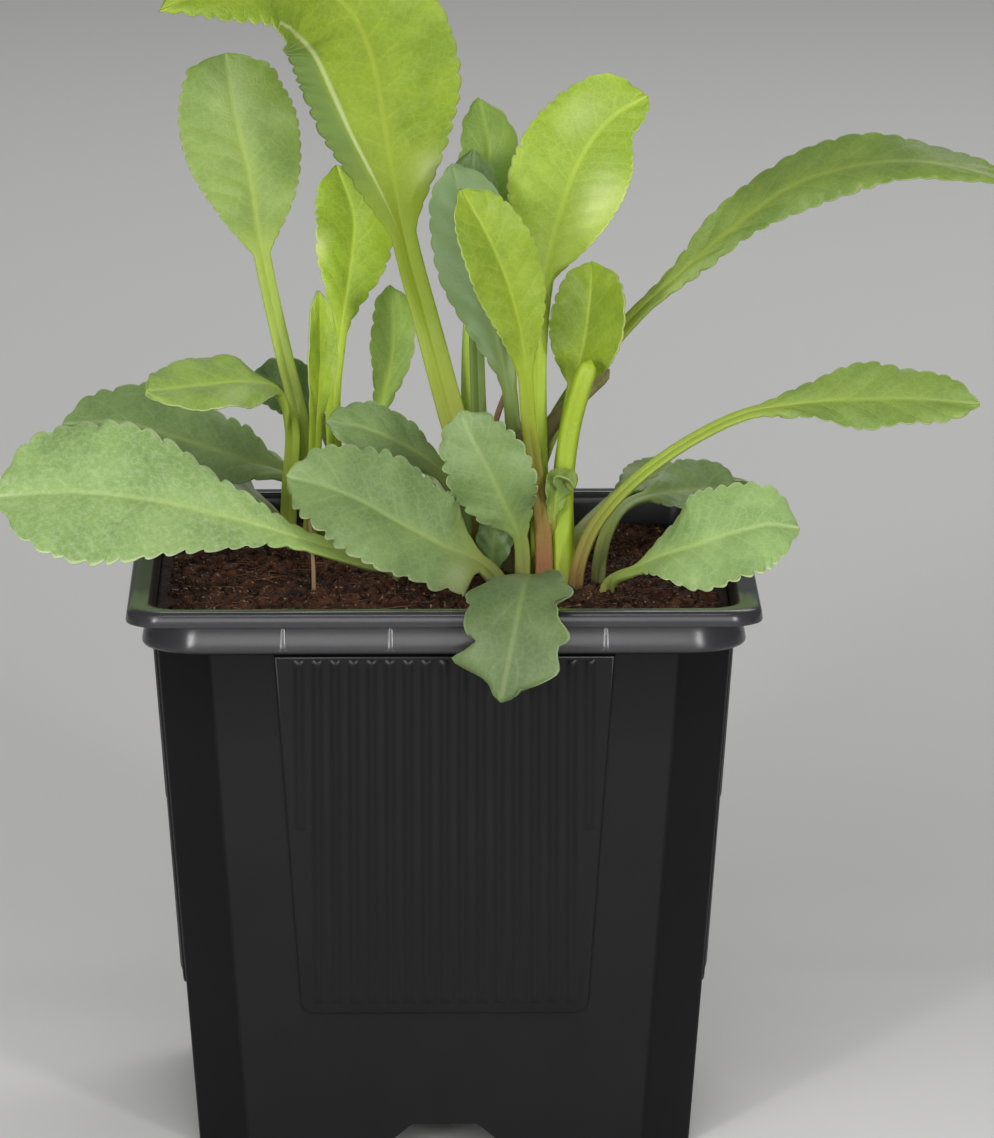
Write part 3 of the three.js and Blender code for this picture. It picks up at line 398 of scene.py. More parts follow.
def notchCutters():
    s = potSpec
    outline = [(-s["notchFoot"] - 1.1, -1), (-s["notchFoot"], 0), (-s["notchTop"] - 0.25, s["notchHigh"] - 0.22),
               (-s["notchTop"] + 0.2, s["notchHigh"]), (s["notchTop"] - 0.2, s["notchHigh"]),
               (s["notchTop"] + 0.25, s["notchHigh"] - 0.22), (s["notchFoot"], 0), (s["notchFoot"] + 1.1, -1)]
    count = len(outline)
    near, far = -s["footHalf"] - 4, -s["footHalf"] + 4
    points = [(x, near, z) for x, z in outline] + [(x, far, z) for x, z in outline]
    faces = [tuple(reversed(range(count))), tuple(range(count, 2 * count))]
    for i in range(count):
        j = (i + 1) % count
        faces.append((i, j, count + j, count + i))
    cutters = []
    for side in range(4):
        turn = Matrix.Rotation(side * math.pi / 2, 3, "Z")
        cutters.append(cutter("notch", [turn @ Vector(p) for p in points], faces))
    return cutters


def drainCutters():
    s = potSpec
    low, high = s["floor"][0] - 1, s["floor"][1] + 1
    cutters = []
    for i in (-1, 0, 1):
        for j in (-1, 0, 1):
            if i or j:
                circle = [(math.cos(t) * s["drainRadius"] + i * s["drainAt"], math.sin(t) * s["drainRadius"]
                           + j * s["drainAt"]) for t in np.linspace(0, 2 * math.pi, 33)[:-1]]
                points = [(x, y, low) for x, y in circle] + [(x, y, high) for x, y in circle]
                faces = [tuple(reversed(range(32))), tuple(range(32, 64))]
                faces += [(k, (k + 1) % 32, 32 + (k + 1) % 32, 32 + k) for k in range(32)]
                cutters.append(cutter("drain", points, faces))
    return cutters


def cutAway(body, cutters):
    tool = joinPieces("cutters", cutters)
    step = body.modifiers.new("cut", "BOOLEAN")
    step.operation, step.object, step.solver = "DIFFERENCE", tool, "EXACT"
    step.use_self = True
    bakeModifiers(body)
    bpy.data.objects.remove(tool)
    return body


def leanPoint(x, out, z):
    # a point of the front wall, out from it by so much
    return (x, -potWallHalf(z) - out, z)


def panelOutline(inset):
    s = potSpec
    slope = (s["panelHalfTop"] - s["panelHalfBottom"]) / (s["panelTop"] - s["panelBottom"])
    top, bottom = s["panelTop"] - inset, s["panelBottom"] + inset
    corner = s["panelCorner"] - inset * 0.5

    def sideAt(z):
        return s["panelHalfBottom"] + (z - s["panelBottom"]) * slope - inset
    points = []
    for k in range(6):
        angle = math.radians(90 * k / 5)
        x = sideAt(bottom + corner) - corner * (1 - math.sin(angle))
        points.append((x, bottom + corner * (1 - math.cos(angle))))
    for share in (0.25, 0.5, 0.75, 1.0):
        z = bottom + corner + (top - bottom - corner) * share
        points.append((sideAt(z), z))
    return points + [(-x, z) for x, z in reversed(points)]


def panelPiece():
    s = potSpec
    levels = [(0.0, -0.4), (0.0, s["panelProud"] * 0.5), (0.06, s["panelProud"] * 0.8), (0.2, s["panelProud"] * 0.95),
              (0.42, s["panelProud"])]
    points, faces = [], []
    for inset, out in levels:
        points += [leanPoint(x, out, z) for x, z in panelOutline(inset)]
    count = len(panelOutline(0))
    for level in range(len(levels) - 1):
        for i in range(count):
            a, b = level * count + i, level * count + (i + 1) % count
            faces.append((a, b, b + count, a + count))
    faces.append(tuple(reversed(range(count))))
    faces.append(tuple(range((len(levels) - 1) * count, len(levels) * count)))
    return points, faces


def barPiece(halfWidth, low, high, proud, sunk=0.25, flare=0.0, across=8):
    # a softly rounded bar on the front wall about x = 0, its ends drawn down
    points, faces = [], []
    rows = [(low, 0.0), (low + 0.25, 0.55), (low + 0.6, 0.9), (low + 1.1, 1.0), (high - 1.1, 1.0), (high - 0.6, 0.95),
            (high - 0.25, 0.7), (high, 0.15)]
    for z, lift in rows:
        wide = halfWidth + flare * (high - z) / (high - low)
        for k in range(across + 1):
            t = -1 + 2 * k / across
            top = proud * lift * (0.5 + 0.5 * math.cos(math.pi * t))
            points.append((t * wide, -top, z))
        points.append((wide, sunk, z))
        points.append((-wide, sunk, z))
    count = across + 3
    for r in range(len(rows) - 1):
        for i in range(count):
            a, b = r * count + i, r * count + (i + 1) % count
            faces.append((a, b, b + count, a + count))
    faces.append(tuple(reversed(range(count))))
    faces.append(tuple(range((len(rows) - 1) * count, len(rows) * count)))
    return points, faces


def ribFoot(x):
    s = potSpec
    slope = (s["panelHalfTop"] - s["panelHalfBottom"]) / (s["panelTop"] - s["panelBottom"])
    return max(s["ribBottom"], s["panelBottom"] + (abs(x) + s["ribHalf"] + s["ribEdgeGap"] - s["panelHalfBottom"]) / slope)


def lineOfBars(name, bar, count, pitch):
    # Geometry Nodes set one bar at each step of a line
    tree = bpy.data.node_groups.new(name + "Line", "GeometryNodeTree")
    tree.interface.new_socket("Bar", in_out="INPUT", socket_type="NodeSocketObject")
    tree.interface.new_socket("Bars", in_out="INPUT", socket_type="NodeSocketInt")
    tree.interface.new_socket("Pitch", in_out="INPUT", socket_type="NodeSocketFloat")
    tree.interface.new_socket("Skin", in_out="INPUT", socket_type="NodeSocketMaterial")
    tree.interface.new_socket("Geometry", in_out="OUTPUT", socket_type="NodeSocketGeometry")
    given = addNode(tree, "NodeGroupInput")
    info = addNode(tree, "GeometryNodeObjectInfo", None, None, {"Object": given.outputs["Bar"]})
    offset = addNode(tree, "ShaderNodeCombineXYZ", None, None, {"X": given.outputs["Pitch"]})
    less = addNode(tree, "ShaderNodeMath", {"operation": "SUBTRACT"}, {1: 1.0}, {0: given.outputs["Bars"]})
    half = addNode(tree, "ShaderNodeMath", {"operation": "MULTIPLY"}, None,
                   {0: less.outputs[0], 1: given.outputs["Pitch"]})
    back = addNode(tree, "ShaderNodeMath", {"operation": "MULTIPLY"}, {1: -0.5}, {0: half.outputs[0]})
    start = addNode(tree, "ShaderNodeCombineXYZ", None, None, {"X": back.outputs[0]})
    line = addNode(tree, "GeometryNodeMeshLine", None, None,
                   {"Count": given.outputs["Bars"], "Start Location": start.outputs[0], "Offset": offset.outputs[0]})
    copies = addNode(tree, "GeometryNodeInstanceOnPoints", None, None,
                     {"Points": line.outputs[0], "Instance": info.outputs["Geometry"]})
    real = addNode(tree, "GeometryNodeRealizeInstances", None, None, {"Geometry": copies.outputs[0]})
    skin = addNode(tree, "GeometryNodeSetMaterial", None, None,
                   {"Geometry": real.outputs[0], "Material": given.outputs["Skin"]})
    addNode(tree, "NodeGroupOutput", None, None, {"Geometry": skin.outputs[0]})
    carrier = meshObject(name, [(0, 0, 0)], [])
    step = carrier.modifiers.new("bars", "NODES")
    step.node_group = tree
    values = {"Bar": bar, "Bars": count, "Pitch": pitch * mm, "Skin": plasticSkin}
    for item in tree.interface.items_tree:
        if item.in_out == "INPUT" and item.name in values:
            step[item.identifier] = values[item.name]
    return bakeModifiers(carrier)


def placeOnWall(thing, side, surface):
    # moves a piece drawn about x = 0, y = 0 on to one of the four sides, where surface gives its distance at a height
    turn = Matrix.Rotation(side * math.pi / 2, 3, "Z")
    for v in thing.data.vertices:
        x, y, z = v.co / mm
        v.co = (turn @ Vector((x, y - surface(z), z))) * mm
    return thing


def panelFace(z):
    return potWallHalf(z) + potSpec["panelProud"]


def collarFace(z):
    # leans in by 0.19 mm for each mm of height
    return potSpec["collarHalf"] + 0.13 - (z - potSpec["collarBottom"] - 0.9) * 0.19


def copyOf(thing):
    twin = bpy.data.objects.new(thing.name, thing.data.copy())
    bpy.context.scene.collection.objects.link(twin)
    return twin


def buildPot():
    s = potSpec
    shell = potShell()
    bm = bmesh.new()
    bm.from_mesh(shell.data)
    bmesh.ops.remove_doubles(bm, verts=bm.verts, dist=1e-7)
    bmesh.ops.recalc_face_normals(bm, faces=bm.faces)
    bm.to_mesh(shell.data)
    bm.free()
    cutAway(shell, notchCutters() + drainCutters())
    panel = meshObject("panel", *panelPiece())
    short = meshObject("shortRib", *barPiece(s["ribHalf"], ribFoot(8 * s["ribPitch"]), s["ribTop"], s["ribProud"]))
    long = meshObject("longRib", *barPiece(s["ribHalf"], s["ribBottom"], s["ribTop"], s["ribProud"]))
    collarBar = meshObject("collarRib", *barPiece(s["collarRibHalf"], s["collarBottom"] + 0.7, s["lipBottom"] + 0.1,
                                                 s["collarRibProud"], flare=0.16))
    row = lineOfBars("longRibs", long, s["ribs"] - 2, s["ribPitch"])
    ends = lineOfBars("shortRibs", short, 2, 2 * 8 * s["ribPitch"])
    outerPair = lineOfBars("outerCollarRibs", collarBar, 2, s["collarRibs"][3] * 2)
    innerPair = lineOfBars("innerCollarRibs", collarBar, 2, s["collarRibs"][2] * 2)
    pieces = [shell]
    for side in range(4):
        plate = copyOf(panel)
        turn = Matrix.Rotation(side * math.pi / 2, 3, "Z")
        plate.data.transform(turn.to_4x4())
        pieces.append(plate)
        pieces += [placeOnWall(copyOf(line), side, panelFace) for line in (row, ends)]
        pieces += [placeOnWall(copyOf(line), side, collarFace) for line in (outerPair, innerPair)]
    for spare in (panel, short, long, collarBar, row, ends, outerPair, innerPair):
        bpy.data.objects.remove(spare)
    disc = [(math.cos(t) * s["pad"], math.sin(t) * s["pad"]) for t in np.linspace(0, 2 * math.pi, 49)[:-1]]
    padLow = [(x * 0.97, y * 0.97, 0.0) for x, y in disc] + [(x, y, 0.25) for x, y in disc]
    padHigh = [(x, y, s["floor"][0] + 0.5) for x, y in disc]
    points, faces = padLow + padHigh, [tuple(reversed(range(48))), tuple(range(96, 144))]
    for r in range(2):
        faces += [(r * 48 + k, r * 48 + (k + 1) % 48, (r + 1) * 48 + (k + 1) % 48, (r + 1) * 48 + k) for k in range(48)]
    pieces.append(meshObject("pad", points, faces))
    pot = joinPieces("nurseryPot", pieces)
    pot.data.materials.clear()
    pot.data.materials.append(plasticSkin)
    markPlastic(pot)
    pot.data.polygons.foreach_set("use_smooth", [True] * len(pot.data.polygons))
    pot.data.set_sharp_from_angle(angle=math.radians(34))
    return pot


def markPlastic(pot):
    # painted shade under the collar and inside, a painted grey reflection on the rim, which is also polished by
    # handling, matt on the four cut corners
    s = potSpec
    slip = s["edgeRound"] * halfEighth
    marks = {"recess": [], "handled": [], "matt": []}
    for v in pot.data.vertices:
        x, y, z = v.co / mm
        far = max(abs(x), abs(y))
        # painted shade: the band under the collar and, fainter, the inside walls
        under = 0.75 if s["collarBottom"] - 2.5 < z < s["collarBottom"] + 0.25 else 0.0
        inside = 0.15 if far - potWallHalf(z) < -0.6 and z < s["ledge"] else 0.0
        marks["recess"].append(max(under, inside))
        # the rim: a painted reflection in its colour, and a glossier, smoother finish
        marks["handled"].append(1.0 if z > s["collarBottom"] + 0.3 and far > s["collarHalf"] - 3 else 0.0)
        beyond = abs(x) + abs(y) - (2 * potWallHalf(z) - potLeg(z) - slip)
        marks["matt"].append(max(0.0, min(1.0, beyond / slip * 2)) if z < s["collarBottom"] else 0.0)
    for name, values in marks.items():
        pot.data.attributes.new(name, "FLOAT", "POINT").data.foreach_set("value", values)


pot = buildPot()
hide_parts("pot")
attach(pot, "root")
print("pot moulded:", len(pot.data.polygons), "faces")


soilSpec = {
    "level": 77.0, "reach": 41.15, "corner": 7.4, "cells": 180, "mound": 0.5, "lump": 0.6, "fine": 0.42,
    "crumbs": 5600, "fibres": 800, "seed": 7,
}


def soilHeight(x, y):
    s = soilSpec
    u, v = x / s["reach"], y / s["reach"]
    near = 0.45 if max(abs(u), abs(v)) > 0.93 else 1.0
    spot = Vector((x * 0.16, y * 0.16, 3.7))
    wide = noise.fractal(spot, 1.0, 2.0, 3)
    fine = noise.fractal(spot * 5.5, 0.9, 2.1, 3)
    crumb = noise.cell(Vector((x * 0.9, y * 0.9, 0)))
    return s["level"] + s["mound"] * (1 - u * u) * (1 - v * v) + near * (s["lump"] * wide + s["fine"] * fine
                                                                        + 0.12 * (crumb - 0.5))


def soilBed():
    # the crust on a fine grid, over the body that fills the pot
    s = soilSpec
    n = s["cells"]
    reach, corner = s["reach"], s["corner"]
    points, faces = [], []
    for j in range(n + 1):
        for i in range(n + 1):
            x, y = (i / n - 0.5) * 2 * reach, (j / n - 0.5) * 2 * reach
            cx, cy = max(abs(x) - (reach - corner), 0), max(abs(y) - (reach - corner), 0)
            far = math.hypot(cx, cy)
            if far > corner:
                x = math.copysign(reach - corner + cx * corner / far, x)
                y = math.copysign(reach - corner + cy * corner / far, y)
            points.append((x, y, soilHeight(x, y)))
    for j in range(n):
        for i in range(n):
            a = j * (n + 1) + i
            faces.append((a, a + 1, a + n + 2, a + n + 1))
    top = meshObject("soilTop", points, faces, earthSkin)
    rim = [i for i in range(n + 1)] + [j * (n + 1) + n for j in range(1, n + 1)]
    rim += [n * (n + 1) + i for i in range(n - 1, -1, -1)] + [j * (n + 1) for j in range(n - 1, 0, -1)]
    base = len(points)
    body, bodyFaces = list(points), list(faces)
    body += [(points[k][0], points[k][1], 76.65) for k in rim]
    count = len(rim)
    for k in range(count):
        nextK = (k + 1) % count
        bodyFaces.append((rim[k], base + k, base + nextK, rim[nextK]))
    bodyFaces.append(tuple(base + k for k in reversed(range(count))))
    crust = meshObject("soilBed", body, bodyFaces, earthSkin)
    inset = potSpec["wall"] + 0.35
    lowPoints, lowFaces = loftRings([wallRing(inset, potSpec["floor"][1] + 0.35), wallRing(inset, 40.0),
                                     wallRing(inset, 76.7)])
    lower = meshObject("soilBody", lowPoints, lowFaces, earthSkin)
    return top, joinPieces("soilBed", [crust, lower])


def crumbShape(name, seed, flat):
    # an uneven lump about 1 mm across
    bm = bmesh.new()
    bmesh.ops.create_icosphere(bm, subdivisions=1, radius=0.5 * mm)
    draw = np.random.default_rng(seed)
    for v in bm.verts:
        v.co = v.co * float(draw.uniform(0.62, 1.3))
        v.co.z *= flat
    mesh = bpy.data.meshes.new(name)
    bm.to_mesh(mesh)
    bm.free()
    thing = bpy.data.objects.new(name, mesh)
    bpy.context.scene.collection.objects.link(thing)
    return thing


def fibreShape(name, seed, length, radius):
    # a bent hair of coir with three sides
    draw = np.random.default_rng(seed)
    points, faces = [], []
    bend = draw.uniform(-0.9, 0.9, 3)
    steps = 7
    for k in range(steps + 1):
        t = k / steps - 0.5
        centre = Vector((t * length, math.sin(t * 4 + bend[0]) * length * 0.12 * bend[1], abs(t) * length * 0.1 * bend[2]))
        thin = radius * (1 - (abs(t) * 1.7) ** 3 * 0.8)
        for c in range(3):
            angle = c * 2 * math.pi / 3
            points.append(centre + Vector((0, math.cos(angle), math.sin(angle))) * thin)
    for k in range(steps):
        for c in range(3):
            a, b = k * 3 + c, k * 3 + (c + 1) % 3
            faces.append((a, b, b + 3, a + 3))
    faces += [(2, 1, 0), (steps * 3, steps * 3 + 1, steps * 3 + 2)]
    return meshObject(name, points, faces)


def strew(name, ground, shapes, skin, amount, seed, low, high, tilt, sink, margin):
    # Geometry Nodes strew shapes over the ground, each turned and sized by a fixed draw, none within the margin in mm
    basket = bpy.data.collections.new(name + "Shapes")
    bpy.context.scene.collection.children.link(basket)
    for shape in shapes:
        bpy.context.scene.collection.objects.unlink(shape)
        basket.objects.link(shape)
    tree = bpy.data.node_groups.new(name + "Strewn", "GeometryNodeTree")
    for title, kind in (("Ground", "NodeSocketGeometry"), ("Shapes", "NodeSocketCollection"), ("Density", "NodeSocketFloat"),
                        ("Seed", "NodeSocketInt"), ("Smallest", "NodeSocketFloat"), ("Largest", "NodeSocketFloat"),
                        ("Tilt", "NodeSocketFloat"), ("Sink", "NodeSocketFloat"), ("Skin", "NodeSocketMaterial")):
        tree.interface.new_socket(title, in_out="INPUT", socket_type=kind)
    tree.interface.new_socket("Geometry", in_out="OUTPUT", socket_type="NodeSocketGeometry")
    given = addNode(tree, "NodeGroupInput")
    spots = addNode(tree, "GeometryNodeDistributePointsOnFaces", None, None,
                    {"Mesh": given.outputs["Ground"], "Density": given.outputs["Density"], "Seed": given.outputs["Seed"]})
    drop = addNode(tree, "ShaderNodeCombineXYZ", None, None, {"Z": given.outputs["Sink"]})
    lowered = addNode(tree, "GeometryNodeSetPosition", None, None,
                      {"Geometry": spots.outputs["Points"], "Offset": drop.outputs[0]})
    pick = addNode(tree, "GeometryNodeCollectionInfo", None, {"Separate Children": True, "Reset Children": True},
                   {"Collection": given.outputs["Shapes"]})
    minus = addNode(tree, "ShaderNodeMath", {"operation": "MULTIPLY"}, {1: -1.0}, {0: given.outputs["Tilt"]})
    least = addNode(tree, "ShaderNodeCombineXYZ", None, {"Z": 0.0}, {"X": minus.outputs[0], "Y": minus.outputs[0]})
    most = addNode(tree, "ShaderNodeCombineXYZ", None, {"Z": 6.2832},
                   {"X": given.outputs["Tilt"], "Y": given.outputs["Tilt"]})
    turn = addNode(tree, "FunctionNodeRandomValue", {"data_type": "FLOAT_VECTOR"}, None,
                   {"Min": least.outputs[0], "Max": most.outputs[0], "Seed": given.outputs["Seed"]})
    size = addNode(tree, "FunctionNodeRandomValue", {"data_type": "FLOAT"})
    floats = [i for i in size.inputs if i.type == "VALUE"]
    tree.links.new(given.outputs["Smallest"], floats[0])
    tree.links.new(given.outputs["Largest"], floats[1])
    tree.links.new(given.outputs["Seed"], size.inputs["Seed"])
    sizeOut = [o for o in size.outputs if o.type == "VALUE"][0]
    copies = addNode(tree, "GeometryNodeInstanceOnPoints", None, {"Pick Instance": True},
                     {"Points": lowered.outputs[0], "Instance": pick.outputs[0], "Rotation": turn.outputs[0],
                      "Scale": sizeOut})
    real = addNode(tree, "GeometryNodeRealizeInstances", None, None, {"Geometry": copies.outputs[0]})
    skinned = addNode(tree, "GeometryNodeSetMaterial", None, None,
                      {"Geometry": real.outputs[0], "Material": given.outputs["Skin"]})
    addNode(tree, "NodeGroupOutput", None, None, {"Geometry": skinned.outputs[0]})
    carrier = copyOf(ground)
    carrier.name = name
    bm = bmesh.new()
    bm.from_mesh(carrier.data)
    edge = (soilSpec["reach"] - margin) * mm
    bmesh.ops.delete(bm, geom=[v for v in bm.verts if max(abs(v.co.x), abs(v.co.y)) > edge], context="VERTS")
    bm.to_mesh(carrier.data)
    bm.free()
    step = carrier.modifiers.new("strew", "NODES")
    step.node_group = tree
    area = (2 * soilSpec["reach"] * mm) ** 2
    values = {"Shapes": basket, "Density": amount / area, "Seed": seed, "Smallest": low, "Largest": high, "Tilt": tilt,
              "Sink": sink * mm, "Skin": skin}
    for item in tree.interface.items_tree:
        if item.in_out == "INPUT" and item.name in values:
            step[item.identifier] = values[item.name]
    bakeModifiers(carrier)
    for shape in shapes:
        bpy.data.objects.remove(shape)
    bpy.data.collections.remove(basket)
    return carrier


soilTop, soil = soilBed()
crumbs = strew("soilCrumbs", soilTop, [crumbShape("crumb" + str(k), k, (1.0, 0.7, 0.85, 0.5)[k]) for k in range(4)],
               crumbSkin, soilSpec["crumbs"], soilSpec["seed"], 0.3, 2.3, 1.2, 0.05, 1.6)
fibres = strew("coirFibres", soilTop, [fibreShape("fibre" + str(k), 20 + k, (5, 8, 6.5, 10)[k], 0.09) for k in range(4)],
               fibreSkin, soilSpec["fibres"], soilSpec["seed"] + 4, 0.5, 1.1, 0.22, 0.3, 5.6)
bpy.data.objects.remove(soilTop)
for piece in (soil, crumbs, fibres):
    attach(piece, "root")
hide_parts("soil")
print("soil laid:", len(crumbs.data.polygons), "crumb faces,", len(fibres.data.polygons), "fibre faces")


